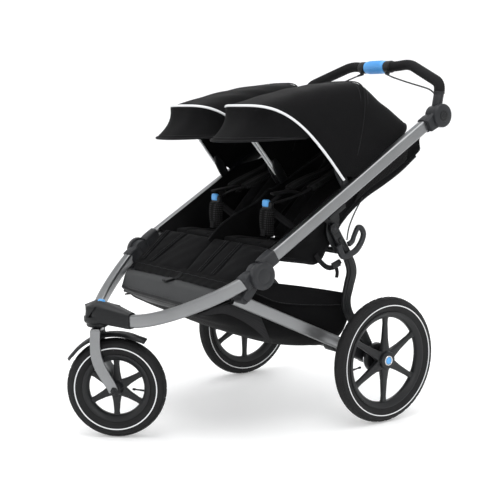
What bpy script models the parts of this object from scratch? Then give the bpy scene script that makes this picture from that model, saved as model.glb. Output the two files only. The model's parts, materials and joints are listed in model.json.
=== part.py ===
"""Side-by-side double jogging stroller with one swivelling front wheel.

Frame: metres, +Z up, -Y towards the front wheel, +X towards the child's left.
The origin is on the floor at the middle of the stroller's bounding box.
Pieces are laid out from the rear axle, in (y, z) pairs, and are moved to the
origin together by the empty "stroller".
"""
import math

import bmesh
import bpy
from mathutils import Matrix, Vector

# ---------------------------------------------------------------- clearances
GAP = 0.0003            # between two pieces that touch
RUN = 0.0004            # radial, around a turning pin
AIR = 0.004             # between a soft piece and its neighbour

# --------------------------------------------------------------------- wheels
REAR_RADIUS = 0.200
REAR_TYRE_WIDTH = 0.045
REAR_BEAD_RADIUS = 0.1525
TRACK = 0.740           # between the rear wheels' middle planes
WHEEL_CLEARANCE = 0.003 # from a rear tyre's inner side to the brake drum
FRONT_RADIUS = 0.152
FRONT_TYRE_WIDTH = 0.050
FRONT_BEAD_RADIUS = 0.1015
RIM_WIDTH = 0.030
RIM_DEPTH = 0.017
SPOKES = 6
SPOKE_THICKNESS = 0.014
SPOKE_TIP = 0.019       # width of a spoke at the rim
AXLE_PIN_RADIUS = 0.006
REAR_HUB_RADIUS = 0.028
FRONT_HUB_RADIUS = 0.022
BUTTON_RADIUS = 0.0112
BUTTON_TRAVEL = 0.003

# --------------------------------------------------------------- front caster
SWIVEL_Y = -0.820       # swivel axis, measured from the rear axle
TRAIL = 0.057
STEER = math.radians(39.5)
STEM_RADIUS = 0.011
BLADE_THICKNESS = 0.012
BLADE_WIDTH = 0.030
BLADE_X = 0.040         # middle of a fork blade from the wheel's middle plane
CROWN_THICKNESS = 0.015
GUARD_THICKNESS = 0.003
GUARD_CLEARANCE = 0.015
GUARD_FRONT = math.radians(31)
GUARD_REAR = math.radians(122)

# ---------------------------------------------------------------- frame tubes
TUBE_X = TRACK / 2 - 0.044      # middle of a side tube
TUBE_WIDTH = 0.030
TUBE_DEPTH = 0.038
UPPER_SLOPE = math.radians(31.64)
LOWER_SLOPE = math.radians(35)
LOWER_LEAD = 0.050      # straight run before the tube sweeps inwards
NOSE_X = 0.045
UPPER_START = 0.062     # along the slope, from the fold pivot
UPPER_LENGTH = 0.735
UPPER_RISE = 0.014      # tube's middle line above the fold pivot
LEG_WIDTH = 0.020
LEG_DEPTH = 0.038
LEG_X = TUBE_X - 0.091          # at the leg pivot
LEG_SPLAY = 0.050       # outward run from the pivot to the axle
AXLE_RADIUS = 0.0125
DRUM_X = TRACK / 2 - REAR_TYRE_WIDTH / 2 - WHEEL_CLEARANCE      # drum's outer face
STRUT_X = DRUM_X - 0.054        # inner face of a strut
STRUT_THICKNESS = 0.012
STRUT_WIDTH = 0.030
STRUT_PIN_RADIUS = 0.005
CROSS_BAR_RADIUS = 0.009
HEAD_TOP = 2 * FRONT_RADIUS + 0.105
HEAD_RADIUS = 0.034
TUBE_STATIONS = 14
NOSE_SHARE = 0.93       # share of the swept line at which the head housing takes over
LOCK_POINT = (0.004, SWIVEL_Y + 0.012)
LOCK_RADIUS = 0.0122
LOCK_RECESS = 0.006
FOLD_ANGLE = math.radians(128)

# ------------------------------------------- pivots, (y, z) from the rear axle
FOLD_PIVOT = Vector((-0.469, 0.505))
LEG_PIVOT = FOLD_PIVOT + Vector((-0.046, -0.0685))
STRUT_TOP = Vector((-0.156, 0.619))
STRUT_FOOT = Vector((-0.045, REAR_RADIUS + 0.090))
HANDLE_PIVOT = FOLD_PIVOT + Matrix.Rotation(UPPER_SLOPE, 2) @ Vector(
    (UPPER_START + UPPER_LENGTH + 0.046, UPPER_RISE + 0.001))
CANOPY_PIVOT = Vector((-0.125, 0.745))
RECLINE_PIVOT = Vector((-0.190, 0.558))
CROSS_BAR = Vector((-0.125, 0.545))
LOWER_START = FOLD_PIVOT + Vector((-0.035, -0.012))
LOWER_NOSE = Vector((SWIVEL_Y + 0.046, HEAD_TOP - 0.035))

# ------------------------------------------------------------- hinges' discs
FOLD_DISC_RADIUS = 0.040
INNER_DISC_RADIUS = 0.0345
DISC_THICKNESS = 0.020
HANDLE_DISC_RADIUS = 0.037
SLEEVE_WALL = 0.004
HINGE_PIN_RADIUS = 0.006
NECK_RADIUS = 0.020     # of the fixed bracket at the fold pivot
LUG_RADIUS = 0.014      # of the same bracket at the leg pivot
KNUCKLE_RADIUS = 0.032  # of the handlebar's end, inside the handle hub
HANDLE_BUTTON_RADIUS = 0.0182

# ------------------------------------------------------------------ handlebar
BAR_RADIUS = 0.0165
GRIP_HALF = 0.150
GRIP_POINT = HANDLE_PIVOT + Vector((0.065, 0.164))
COLLAR_RADIUS = BAR_RADIUS + 0.004
BRAKE_GRIP_RADIUS = BAR_RADIUS + 0.006
BRAKE_GRIP_X = (-0.066, 0.028)
COLLAR_LENGTH = 0.030
CABLE_RADIUS = 0.0025

# ----------------------------------------------------------------- soft goods
SEAT_INNER_X = 0.010
SEAT_WALL_X = TUBE_X - 0.058
SEAT_MIDDLE = (SEAT_INNER_X + SEAT_WALL_X) / 2
SEAT_WALL = 0.012
BACKREST_INSET = 0.014
HARNESS_WIDTH = 0.120
BUCKLE_WIDTH = 0.044
PAN_FRONT = Vector((-0.372, 0.585))
PAN_REAR = Vector((-0.200, 0.560))
PAN_THICKNESS = 0.034
BACK_LENGTH = 0.430
BACK_SLOPE = math.radians(46)
BACK_THICKNESS = 0.030
CANOPY_X = (0.008, TUBE_X - 0.020)
CANOPY_WALL = 0.004
CANOPY_FOOT = 0.030     # from the canopy's pivot to the lower end of each hoop
CREST_RADIUS = 0.3139   # from the pivot to the crown's straight line
CREST_FALL = 0.0612     # the same line's slope
SEAM_ANGLE = 131.0
BASKET_WALL = 0.005
BASKET_HALF = LEG_X - 0.019     # at the leg pivot
BASKET_SPLAY = 0.095

FINISH = {
    "tyre_rubber": ((0.012, 0.012, 0.013), 0.75, 0.0),
    "moulded_black": ((0.020, 0.020, 0.022), 0.45, 0.0),
    "anodised_silver": ((0.56, 0.57, 0.58), 0.32, 1.0),
    "plated_steel": ((0.60, 0.61, 0.62), 0.25, 1.0),
    "blue_plastic": ((0.07, 0.34, 0.75), 0.40, 0.0),
    "black_fabric": ((0.014, 0.014, 0.015), 0.90, 0.0),
    "grey_board": ((0.085, 0.085, 0.090), 0.60, 0.0),
    "grip_foam": ((0.025, 0.025, 0.027), 0.80, 0.0),
    "cable_jacket": ((0.015, 0.015, 0.016), 0.50, 0.0),
}


# ------------------------------------------------------------ scene and parts
def clear_scene():
    for obj in list(bpy.data.objects):
        bpy.data.objects.remove(obj, do_unlink=True)


def make_collection(name):
    collection = bpy.data.collections.new(name)
    bpy.context.scene.collection.children.link(collection)
    return collection


def make_material(name):
    colour, roughness, metallic = FINISH[name]
    material = bpy.data.materials.new(name)
    material.use_nodes = True
    shader = material.node_tree.nodes["Principled BSDF"]
    shader.inputs["Base Color"].default_value = (*colour, 1.0)
    shader.inputs["Roughness"].default_value = roughness
    shader.inputs["Metallic"].default_value = metallic
    return material


def make_empty(name, parent=None, location=(0, 0, 0), turn=0.0):
    """An empty placed in its parent's frame, turned about Z."""
    empty = bpy.data.objects.new(name, None)
    PARTS.objects.link(empty)
    empty.parent = parent
    empty.location = location
    empty.rotation_euler = (0, 0, turn)
    return empty


def pivot(name, parent, yz, x=0.0):
    """An empty on a joint's axis, given from the rear axle."""
    base = Vector(parent.get("at", (0, 0, 0)))
    place = Vector((x, yz[0], yz[1]))
    empty = make_empty(name, parent, place - base)
    empty["at"] = tuple(place)
    return empty


def link_mesh(name, mesh):
    obj = bpy.data.objects.new(name, mesh)
    PARTS.objects.link(obj)
    return obj


def tidy_normals(mesh):
    bm = bmesh.new()
    bm.from_mesh(mesh)
    bmesh.ops.remove_doubles(bm, verts=bm.verts, dist=0.00002)
    bmesh.ops.recalc_face_normals(bm, faces=bm.faces)
    bm.to_mesh(mesh)
    bm.free()


def bake(obj):
    """Replace an object by the plain mesh it evaluates to."""
    bpy.context.view_layer.update()
    evaluated = obj.evaluated_get(bpy.context.evaluated_depsgraph_get())
    mesh = bpy.data.meshes.new_from_object(evaluated)
    mesh.transform(obj.matrix_world)
    name = obj.name
    bpy.data.objects.remove(obj, do_unlink=True)
    tidy_normals(mesh)
    mesh.name = name
    return link_mesh(name, mesh)


def boolean(obj, others, operation):
    """Join or cut with guide objects, which stay out of the model."""
    for other in others:
        other.hide_render = True
        other.display_type = "WIRE"
        PARTS.objects.unlink(other)
        CUTTERS.objects.link(other)
        modifier = obj.modifiers.new(operation.lower(), "BOOLEAN")
        modifier.operation = operation
        modifier.object = other
        modifier.solver = "EXACT"
    return obj


def join(obj, others):
    return boolean(obj, others, "UNION")


def cut(obj, others):
    return boolean(obj, others, "DIFFERENCE")


def finish(obj, material, parent, local=False, sharp=35.0):
    """Give a piece its material and parent; a local piece is in its parent's frame."""
    for modifier in list(obj.modifiers):
        if modifier.type == "BOOLEAN":
            guide = modifier.object
            if guide.parent is None:
                guide.parent = obj
    obj.data.materials.clear()
    obj.data.materials.append(MATERIALS[material])
    obj.data.shade_smooth()
    obj.data.set_sharp_from_angle(angle=math.radians(sharp))
    obj.parent = parent
    if not local:
        place = Vector(parent.get("at", (0, 0, 0)))
        obj.matrix_parent_inverse = Matrix.Translation(-place)
    return obj


# --------------------------------------------------------------------- shapes
def cylinder(name, radius, low, high, centre, axis="X", sides=28):
    """A cylinder along X, Y or Z from low to high, about a centre line."""
    turn = {"X": (0, math.pi / 2, 0), "Y": (math.pi / 2, 0, 0), "Z": (0, 0, 0)}[axis]
    middle = (low + high) / 2
    place = {"X": (middle, *centre), "Y": (centre[0], middle, centre[1]),
             "Z": (*centre, middle)}[axis]
    bpy.ops.mesh.primitive_cylinder_add(
        vertices=sides, radius=radius, depth=high - low, location=place, rotation=turn)
    obj = bpy.context.active_object
    for collection in list(obj.users_collection):
        collection.objects.unlink(obj)
    PARTS.objects.link(obj)
    obj.name = name
    return bake(obj)


def block(name, low, high, bevel=0.0, segments=2):
    """A box between two corners, with rounded edges."""
    bpy.ops.mesh.primitive_cube_add(size=1.0)
    obj = bpy.context.active_object
    for collection in list(obj.users_collection):
        collection.objects.unlink(obj)
    PARTS.objects.link(obj)
    obj.name = name
    low, high = Vector(low), Vector(high)
    obj.data.transform(Matrix.Diagonal((*(high - low), 1.0)))
    obj.data.transform(Matrix.Translation((low + high) / 2))
    if bevel:
        round_edges(obj, bevel, segments)
    return bake(obj)


def round_edges(obj, width, segments=2):
    modifier = obj.modifiers.new("rounded", "BEVEL")
    modifier.width = width
    modifier.segments = segments
    modifier.limit_method = "ANGLE"
    modifier.angle_limit = math.radians(40)
    return obj


def arc(centre, radius, start, end, steps):
    """Points on an arc, angles in degrees from +y towards +z."""
    return [(centre[0] + radius * math.cos(math.radians(start + (end - start) * i / steps)),
             centre[1] + radius * math.sin(math.radians(start + (end - start) * i / steps)))
            for i in range(steps + 1)]


def capsule(first, second, radius, end_radius=None, steps=6):
    """The outline around two circles joined by straight sides."""
    end_radius = radius if end_radius is None else end_radius
    heading = math.degrees(math.atan2(second[1] - first[1], second[0] - first[0]))
    return (arc(first, radius, heading + 90, heading + 270, steps)
            + arc(second, end_radius, heading - 90, heading + 90, steps))


def ribbon(path, width):
    """The outline of a flat bar of even width that follows a (y, z) path."""
    path = [Vector((p[0], p[1])) for p in path]
    left, right = [], []
    for i, point in enumerate(path):
        before, after = path[max(i - 1, 0)], path[min(i + 1, len(path) - 1)]
        run = (after - before).normalized()
        side = Vector((-run.y, run.x)) * width / 2
        left.append(point + side)
        right.append(point - side)
    return left + right[::-1]


def plate(name, outline, low, high, bevel=0.0, segments=1):
    """A flat (y, z) outline made solid between two x values."""
    curve = bpy.data.curves.new(name, "CURVE")
    curve.dimensions = "2D"
    curve.fill_mode = "BOTH"
    curve.extrude = (high - low) / 2
    spline = curve.splines.new("POLY")
    spline.points.add(len(outline) - 1)
    for point, (y, z) in zip(spline.points, outline):
        point.co = (y, z, 0, 1)
    spline.use_cyclic_u = True
    obj = bpy.data.objects.new(name, curve)
    PARTS.objects.link(obj)
    obj.rotation_euler = (math.pi / 2, 0, math.pi / 2)
    obj.location = ((low + high) / 2, 0, 0)
    solid = bake(obj)
    if bevel:
        round_edges(solid, bevel, segments)
        solid = bake(solid)
    return solid


def oval(width, depth, sides=12, power=2.6):
    """Points of a rounded section, wide in x and deep in y."""
    points = []
    for i in range(sides):
        angle = 2 * math.pi * (i + 0.5) / sides
        c, s = math.cos(angle), math.sin(angle)
        points.append((math.copysign(abs(c) ** (2 / power), c) * width / 2,
                       math.copysign(abs(s) ** (2 / power), s) * depth / 2))
    return points


def sweep(name, path, section):
    """A section carried along a path of 3-D points, kept upright."""
    profile = bpy.data.curves.new(name + "_section", "CURVE")
    profile.dimensions = "2D"
    ring = profile.splines.new("POLY")
    ring.points.add(len(section) - 1)
    for point, (u, v) in zip(ring.points, section):
        point.co = (u, v, 0, 1)
    ring.use_cyclic_u = True
    guide = bpy.data.objects.new(name + "_section", profile)
    PARTS.objects.link(guide)
    curve = bpy.data.curves.new(name, "CURVE")
    curve.dimensions = "3D"
    curve.twist_mode = "Z_UP"
    curve.bevel_mode = "OBJECT"
    curve.bevel_object = guide
    curve.use_fill_caps = True
    spline = curve.splines.new("POLY")
    spline.points.add(len(path) - 1)
    for point, place in zip(spline.points, path):
        point.co = (*place, 1)
    obj = bpy.data.objects.new(name, curve)
    PARTS.objects.link(obj)
    solid = bake(obj)
    bpy.data.objects.remove(guide, do_unlink=True)
    return solid


def rod(name, path, radius, sides=12):
    return sweep(name, path, oval(2 * radius, 2 * radius, sides, 2.0))


def turned(name, profile, steps, sign=1.0):
    """A closed profile of (x, radius) points turned about the X axis."""
    mesh = bpy.data.meshes.new(name)
    points = [(radius, 0, sign * x) for x, radius in profile]
    edges = [(i, (i + 1) % len(points)) for i in range(len(points))]
    mesh.from_pydata(points, edges, [])
    obj = link_mesh(name, mesh)
    screw = obj.modifiers.new("turned", "SCREW")
    screw.axis = "Z"
    screw.steps = steps
    screw.render_steps = steps
    screw.use_merge_vertices = True
    screw.merge_threshold = 0.00002
    obj.rotation_euler = (0, math.pi / 2, 0)
    return bake(obj)


def skin(name, rows, wall, material_side=-1.0):
    """An open sheet through rows of points, given a wall with Solidify."""
    mesh = bpy.data.meshes.new(name)
    count = len(rows[0])
    points = [tuple(p) for row in rows for p in row]
    faces = []
    for j in range(len(rows) - 1):
        for i in range(count - 1):
            a = j * count + i
            faces.append((a, a + 1, a + count + 1, a + count))
    mesh.from_pydata(points, [], faces)
    tidy_normals(mesh)
    obj = link_mesh(name, mesh)
    solidify = obj.modifiers.new("wall", "SOLIDIFY")
    solidify.thickness = wall
    solidify.offset = material_side
    solidify.use_even_offset = True
    return bake(obj)


def smooth_path(points, radius, steps=4):
    """A path with each inner corner rounded by a short quadratic curve."""
    points = [Vector(p) for p in points]
    path = [points[0]]
    for before, corner, after in zip(points, points[1:], points[2:]):
        reach = min(radius, (corner - before).length / 2.01, (after - corner).length / 2.01)
        start = corner + (before - corner).normalized() * reach
        end = corner + (after - corner).normalized() * reach
        for i in range(steps + 1):
            t = i / steps
            path.append(start * (1 - t) ** 2 + corner * 2 * t * (1 - t) + end * t ** 2)
    path.append(points[-1])
    return path


def along_upper(distance, height=0.0):
    """A (y, z) point along the upper tube, from the fold pivot."""
    run = Vector((math.cos(UPPER_SLOPE), math.sin(UPPER_SLOPE)))
    rise = Vector((-run.y, run.x))
    return FOLD_PIVOT + run * distance + rise * (height + UPPER_RISE)


def leg_point(distance, height=0.0):
    """A (y, z) point along the rear leg, from its pivot."""
    run = (Vector((0, REAR_RADIUS)) - LEG_PIVOT).normalized()
    return LEG_PIVOT + run * distance + Vector((-run.y, run.x)) * height


def leg_x(distance):
    length = (Vector((0, REAR_RADIUS)) - LEG_PIVOT).length
    return LEG_X + LEG_SPLAY * distance / length


def sided(name, side):
    return name + ("_left" if side > 0 else "_right")


def span(side, inner, outer):
    """Two x values in rising order, on one side of the stroller."""
    return (inner, outer) if side > 0 else (-outer, -inner)


# --------------------------------------------------------------------- wheels
def tyre(name, radius, width, bead):
    """An inflated tyre's outer shape, seated on the rim at its bead."""
    crown = width / 2
    profile = [(crown * math.cos(a), radius - crown + crown * math.sin(a))
               for a in (math.pi * i / 6 for i in range(7))]
    shoulder = RIM_WIDTH / 2
    profile += [(-shoulder, bead + GAP), (shoulder, bead + GAP)]
    return turned(name, profile, 36)


def spider(name, inner, tip, thickness):
    """The wheel's spokes as one flat star, wide at the hub."""
    outline = []
    root = math.radians(180 / SPOKES)
    half_tip = math.asin(SPOKE_TIP / 2 / tip)
    for i in range(SPOKES):
        a = math.pi / 2 + 2 * math.pi * i / SPOKES
        outline += [(tip * math.cos(a - half_tip), tip * math.sin(a - half_tip)),
                    (tip * math.cos(a + half_tip), tip * math.sin(a + half_tip)),
                    (inner * math.cos(a + root), inner * math.sin(a + root))]
    return plate(name, outline, -thickness / 2, thickness / 2)


def rim(name, bead, hub_radius, hub_span, side=1.0):
    """Rim ring, spokes and hub moulded in one piece, with a bore for the axle."""
    half = RIM_WIDTH / 2
    ring = turned(name, [(half, bead), (-half, bead), (-half + 0.003, bead - RIM_DEPTH + 0.004),
                         (0, bead - RIM_DEPTH), (half - 0.003, bead - RIM_DEPTH + 0.004)], 36)
    spokes = spider(name + "_spokes", hub_radius + 0.010, bead - RIM_DEPTH / 2, SPOKE_THICKNESS)
    low, high = hub_span if side > 0 else (-hub_span[1], -hub_span[0])
    hub = cylinder(name + "_hub", hub_radius, low, high, (0, 0))
    return join(ring, [hub, spokes])


def rear_wheel(side, root):
    wheel = pivot(sided("rear_wheel_axis", side), root, (0, REAR_RADIUS), side * TRACK / 2)
    name = sided("rear_tyre", side)
    finish(tyre(name, REAR_RADIUS, REAR_TYRE_WIDTH, REAR_BEAD_RADIUS), "tyre_rubber", wheel, True)
    half = REAR_TYRE_WIDTH / 2
    face = half - 0.002
    body = rim(sided("rear_rim", side), REAR_BEAD_RADIUS, REAR_HUB_RADIUS, (-half, face), side)
    seat = half - 0.0065
    pocket = cylinder("pocket", BUTTON_RADIUS + GAP, *span(side, seat - BUTTON_TRAVEL - 0.001,
                                                           half + 0.01), (0, 0), sides=16)
    bore = cylinder("bore", AXLE_PIN_RADIUS + RUN, *span(side, -half - 0.01, 0.008), (0, 0),
                    sides=16)
    finish(cut(body, [pocket, bore]), "moulded_black", wheel, True)
    button = cylinder(sided("hub_button", side), BUTTON_RADIUS, *span(side, seat, half), (0, 0),
                      sides=16)
    finish(button, "blue_plastic", wheel, True)
    return wheel


def front_wheel(caster):
    axis = make_empty("front_wheel_axis", caster, (0, TRAIL, FRONT_RADIUS))
    finish(tyre("front_tyre", FRONT_RADIUS, FRONT_TYRE_WIDTH, FRONT_BEAD_RADIUS),
           "tyre_rubber", axis, True)
    hub_half = BLADE_X - BLADE_THICKNESS / 2 - 0.002
    body = rim("front_rim", FRONT_BEAD_RADIUS, FRONT_HUB_RADIUS, (-hub_half, hub_half))
    bore = cylinder("bore", AXLE_PIN_RADIUS + RUN, -0.1, 0.1, (0, 0), sides=16)
    finish(cut(body, [bore]), "moulded_black", axis, True)


# --------------------------------------------------------------- front caster
def caster_group(root):
    """Fork, mudguard, axle and stem, built about the swivel axis and then steered."""
    caster = make_empty("caster_axis", root, (0, SWIVEL_Y, 0), -STEER)
    top = 2 * FRONT_RADIUS + GUARD_CLEARANCE
    crown_top = top + GUARD_THICKNESS + CROWN_THICKNESS
    reach = [(0.0, crown_top), (0.0, FRONT_RADIUS + 0.118), (0.010, FRONT_RADIUS + 0.081),
             (0.029, FRONT_RADIUS + 0.045), (0.047, FRONT_RADIUS + 0.018),
             (TRAIL, FRONT_RADIUS)]
    half = BLADE_WIDTH / 2
    outline = [(-half, crown_top), (-half, reach[1][1]), (reach[2][0] - half, reach[2][1]),
               (reach[3][0] - half, reach[3][1]), (TRAIL - half, FRONT_RADIUS)]
    outline += arc((TRAIL, FRONT_RADIUS), half, 180, 360, 8)[1:]
    outline += [(reach[4][0] + half, reach[4][1] + 0.022),
                (reach[3][0] + half + 0.004, reach[3][1] + 0.012),
                (reach[2][0] + half + 0.002, reach[2][1] + 0.010),
                (half + 0.004, reach[1][1]), (half + 0.004, crown_top)]
    blades = [plate("blade", outline, *span(s, BLADE_X - BLADE_THICKNESS / 2,
                                            BLADE_X + BLADE_THICKNESS / 2), 0.002)
              for s in (-1, 1)]
    crown = block("caster_fork", (-BLADE_X - 0.004, -half + 0.001, crown_top - CROWN_THICKNESS),
                  (BLADE_X + 0.004, half + 0.003, crown_top), 0.004)
    bores = [cylinder("bore", AXLE_PIN_RADIUS + GAP, -0.1, 0.1, (TRAIL, FRONT_RADIUS), sides=16),
             cylinder("bore", STEM_RADIUS + GAP, crown_top - 0.008, crown_top + 0.01, (0, 0), "Z",
                      sides=16)]
    finish(cut(join(crown, blades), bores), "anodised_silver", caster, True)

    outer = BLADE_X + BLADE_THICKNESS / 2
    axle = cylinder("front_axle", AXLE_PIN_RADIUS, -outer - 0.002, outer + 0.002,
                    (TRAIL, FRONT_RADIUS), sides=16)
    heads = [cylinder("head", 0.0105, *span(s, outer + GAP, outer + 0.007), (TRAIL, FRONT_RADIUS),
                      sides=16) for s in (-1, 1)]
    finish(join(axle, heads), "plated_steel", caster, True)

    stem = cylinder("caster_stem", STEM_RADIUS, crown_top - 0.008 + GAP, HEAD_TOP - 0.016, (0, 0),
                    "Z", sides=16)
    finish(stem, "plated_steel", caster, True)

    inner = FRONT_RADIUS + GUARD_CLEARANCE
    first, last = math.degrees(math.pi - GUARD_FRONT), math.degrees(math.pi - GUARD_REAR)
    hoop = (arc((TRAIL, FRONT_RADIUS), inner, first, last, 16)
            + arc((TRAIL, FRONT_RADIUS), inner + GUARD_THICKNESS - GAP, last, first, 16))
    width = FRONT_TYRE_WIDTH / 2 + 0.006
    guard = plate("mudguard", hoop, -width, width)
    finish(guard, "moulded_black", caster, True)
    front_wheel(caster)
    return caster


# ---------------------------------------------------------------- lower frame
def lower_curve(start, end, steps):
    """The lower tube's middle line between two shares of its swept length."""
    a = Vector((TUBE_X, *LOWER_START))
    b = a - Vector((0, math.cos(LOWER_SLOPE), math.sin(LOWER_SLOPE))) * LOWER_LEAD
    c = Vector((NOSE_X + 0.110, LOWER_NOSE[0] - 0.008, LOWER_NOSE[1] - 0.049))
    d = Vector((NOSE_X, *LOWER_NOSE))
    path = []
    for i in range(steps + 1):
        t = start + (end - start) * i / steps
        path.append(a * (1 - t) ** 3 + b * 3 * t * (1 - t) ** 2 + c * 3 * t * t * (1 - t)
                    + d * t ** 3)
    return path


def mirrored(path, side):
    return [Vector((side * p[0], p[1], p[2])) for p in path]


def lower_frame(root):
    path = lower_curve(0.0, NOSE_SHARE, TUBE_STATIONS)
    for side in (1, -1):
        tube = sweep(sided("lower_tube", side), mirrored(path, side), oval(TUBE_WIDTH, TUBE_DEPTH))
        finish(tube, "anodised_silver", root)
        lower_joint(side, root)
    head_housing(root)
    bar_end = TUBE_X - TUBE_WIDTH / 2 - 0.002
    bar = cylinder("leg_pivot_bar", HINGE_PIN_RADIUS, -bar_end, bar_end, LEG_PIVOT, sides=14)
    finish(bar, "plated_steel", root)
    footrest(root)


def lower_joint(side, root):
    """The fixed half of the fold hinge: inner disc, sleeve stub and leg bracket."""
    low, high = TUBE_X - TUBE_WIDTH / 2 + 0.001, TUBE_X + TUBE_WIDTH / 2
    disc = cylinder(sided("fold_socket", side), INNER_DISC_RADIUS, *span(side, low, high),
                    FOLD_PIVOT)
    neck = plate("neck", capsule(FOLD_PIVOT, LEG_PIVOT, NECK_RADIUS, LUG_RADIUS),
                 *span(side, low, high - 0.004))
    lug = cylinder("lug", LUG_RADIUS, *span(side, low - 0.020, low + 0.004), LEG_PIVOT, sides=16)
    bores = [cylinder("bore", HINGE_PIN_RADIUS + RUN, *span(side, low - 0.01, high + 0.01),
                      FOLD_PIVOT, sides=16),
             cylinder("bore", HINGE_PIN_RADIUS + GAP, *span(side, low - 0.03, low + 0.0135),
                      LEG_PIVOT, sides=16)]
    relief = tube_relief(side, 0, 5)
    body = cut(join(disc, [neck, lug]), [relief] + bores)
    finish(body, "moulded_black", root)


def tube_relief(side, first, last):
    """The lower tube with clearance all round, from one of its stations to another."""
    step = NOSE_SHARE / TUBE_STATIONS
    path = lower_curve(first * step, last * step, last - first)
    lead = 0.0 if first else GAP
    path[0] += (path[0] - path[1]).normalized() * lead
    return sweep("relief", mirrored(path, side), oval(TUBE_WIDTH + 2 * GAP, TUBE_DEPTH + 2 * GAP))


def head_housing(root):
    """Nose casting: the swivel bearing barrel and the two tube sockets."""
    bottom = 2 * FRONT_RADIUS + GUARD_CLEARANCE + GUARD_THICKNESS + CROWN_THICKNESS + 0.001
    barrel = cylinder("head_housing", HEAD_RADIUS, bottom, HEAD_TOP, (0, SWIVEL_Y), "Z")
    path = lower_curve(NOSE_SHARE - 0.09, 1.0, 4)
    path += [Vector((-p.x, p.y, p.z)) for p in reversed(path)]
    branch = sweep("branch", path, oval(TUBE_WIDTH + 0.010, TUBE_DEPTH + 0.008))
    web = block("web", (-0.030, SWIVEL_Y, bottom + 0.012), (0.030, LOWER_NOSE[0], HEAD_TOP - 0.010),
                0.006)
    bore = cylinder("bore", STEM_RADIUS + RUN, bottom - 0.01, HEAD_TOP - 0.015, (0, SWIVEL_Y), "Z",
                    sides=16)
    seat = cylinder("seat", LOCK_RADIUS + 2 * GAP, HEAD_TOP - LOCK_RECESS, HEAD_TOP + 0.01, LOCK_POINT,
                    "Z", sides=16)
    reliefs = [tube_relief(s, TUBE_STATIONS - 3, TUBE_STATIONS) for s in (1, -1)]
    finish(cut(join(barrel, [branch, web]), [bore, seat] + reliefs), "moulded_black", root)


def swivel_lock(root):
    axis = make_empty("swivel_lock_axis", root, (*LOCK_POINT, 0))
    knob = cylinder("swivel_lock_knob", LOCK_RADIUS, HEAD_TOP - LOCK_RECESS + GAP,
                    HEAD_TOP + 0.004, (0, 0), "Z", sides=16)
    ridge = block("ridge", (-0.010, -0.003, HEAD_TOP + 0.001), (0.010, 0.003, HEAD_TOP + 0.010))
    finish(join(knob, [ridge]), "blue_plastic", axis, True)


def board(name, path, thickness, half_widths):
    """A bent board: (y, z) points with a half width at each."""
    rows = [[(-w, y, z), (w, y, z)] for (y, z), w in zip(path, half_widths)]
    return skin(name, rows, thickness)


def footrest(root):
    path = [(-0.530, 0.452), (-0.580, 0.450), (-0.617, 0.404), (-0.606, 0.393)]
    widths = [LEG_X + extra for extra in (0.029, 0.013, -0.019, -0.035)]
    finish(board("footrest", path, 0.006, widths), "grey_board", root)
    top, foot = Vector((-0.391, 0.578)), Vector((-0.512, 0.476))
    half = SEAT_WALL_X - 0.006
    flap = pad("leg_flap", top, foot, 0.018, -half, half, 0.006)
    finish(flap, "black_fabric", root)


def pad(name, first, second, thickness, low, high, bevel):
    """A flat cushion between two (y, z) points, under the line that joins them."""
    first, second = Vector(first), Vector(second)
    run = second - first
    heading = math.atan2(run.y, run.x)
    obj = block(name, (low, 0, -thickness), (high, run.length, 0), bevel)
    flip = Matrix.Identity(4) if run.x > 0 else Matrix.Scale(-1, 4, (0, 0, 1))
    obj.data.transform(flip)
    obj.data.transform(Matrix.Rotation(heading, 4, "X"))
    obj.data.transform(Matrix.Translation((0, *first)))
    tidy_normals(obj.data)
    return obj


# --------------------------------------------------------------- rear chassis
def rear_chassis(legs):
    axle_z = REAR_RADIUS
    leg_end = (Vector((0, axle_z)) - LEG_PIVOT).length - 0.066
    for side in (1, -1):
        path = [(side * leg_x(d), *leg_point(d)) for d in (0.026, leg_end / 2, leg_end)]
        tube = sweep(sided("rear_leg", side), path, oval(LEG_WIDTH, LEG_DEPTH))
        knuckle = plate("knuckle", capsule(LEG_PIVOT, leg_point(0.034), 0.0135),
                        *span(side, LEG_X - 0.008, LEG_X + 0.008))
        bore = cylinder("bore", HINGE_PIN_RADIUS + RUN, *span(side, LEG_X - 0.03, LEG_X + 0.03),
                        LEG_PIVOT, sides=16)
        finish(cut(join(tube, [knuckle]), [bore]), "anodised_silver", legs)
        axle_housing(side, legs, leg_end)
    inner = DRUM_X - 0.045
    finish(cylinder("rear_axle", AXLE_RADIUS, -inner, inner, (0, axle_z), sides=16),
           "anodised_silver", legs)
    pedal_axis = pivot("pedal_axis", legs, (0, axle_z))
    ring = cylinder("parking_pedal", AXLE_RADIUS + 0.007, 0.100, 0.150, (0, axle_z), sides=16)
    arm = plate("arm", capsule((0, axle_z), (0.075, axle_z + 0.004), 0.009, 0.007), 0.108, 0.142)
    tread = block("tread", (0.085, 0.055, axle_z - 0.003), (0.165, 0.090, axle_z + 0.011), 0.003)
    bore = cylinder("bore", AXLE_RADIUS + RUN, 0.05, 0.20, (0, axle_z), sides=16)
    finish(cut(join(ring, [arm, tread]), [bore]), "moulded_black", pedal_axis)


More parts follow.
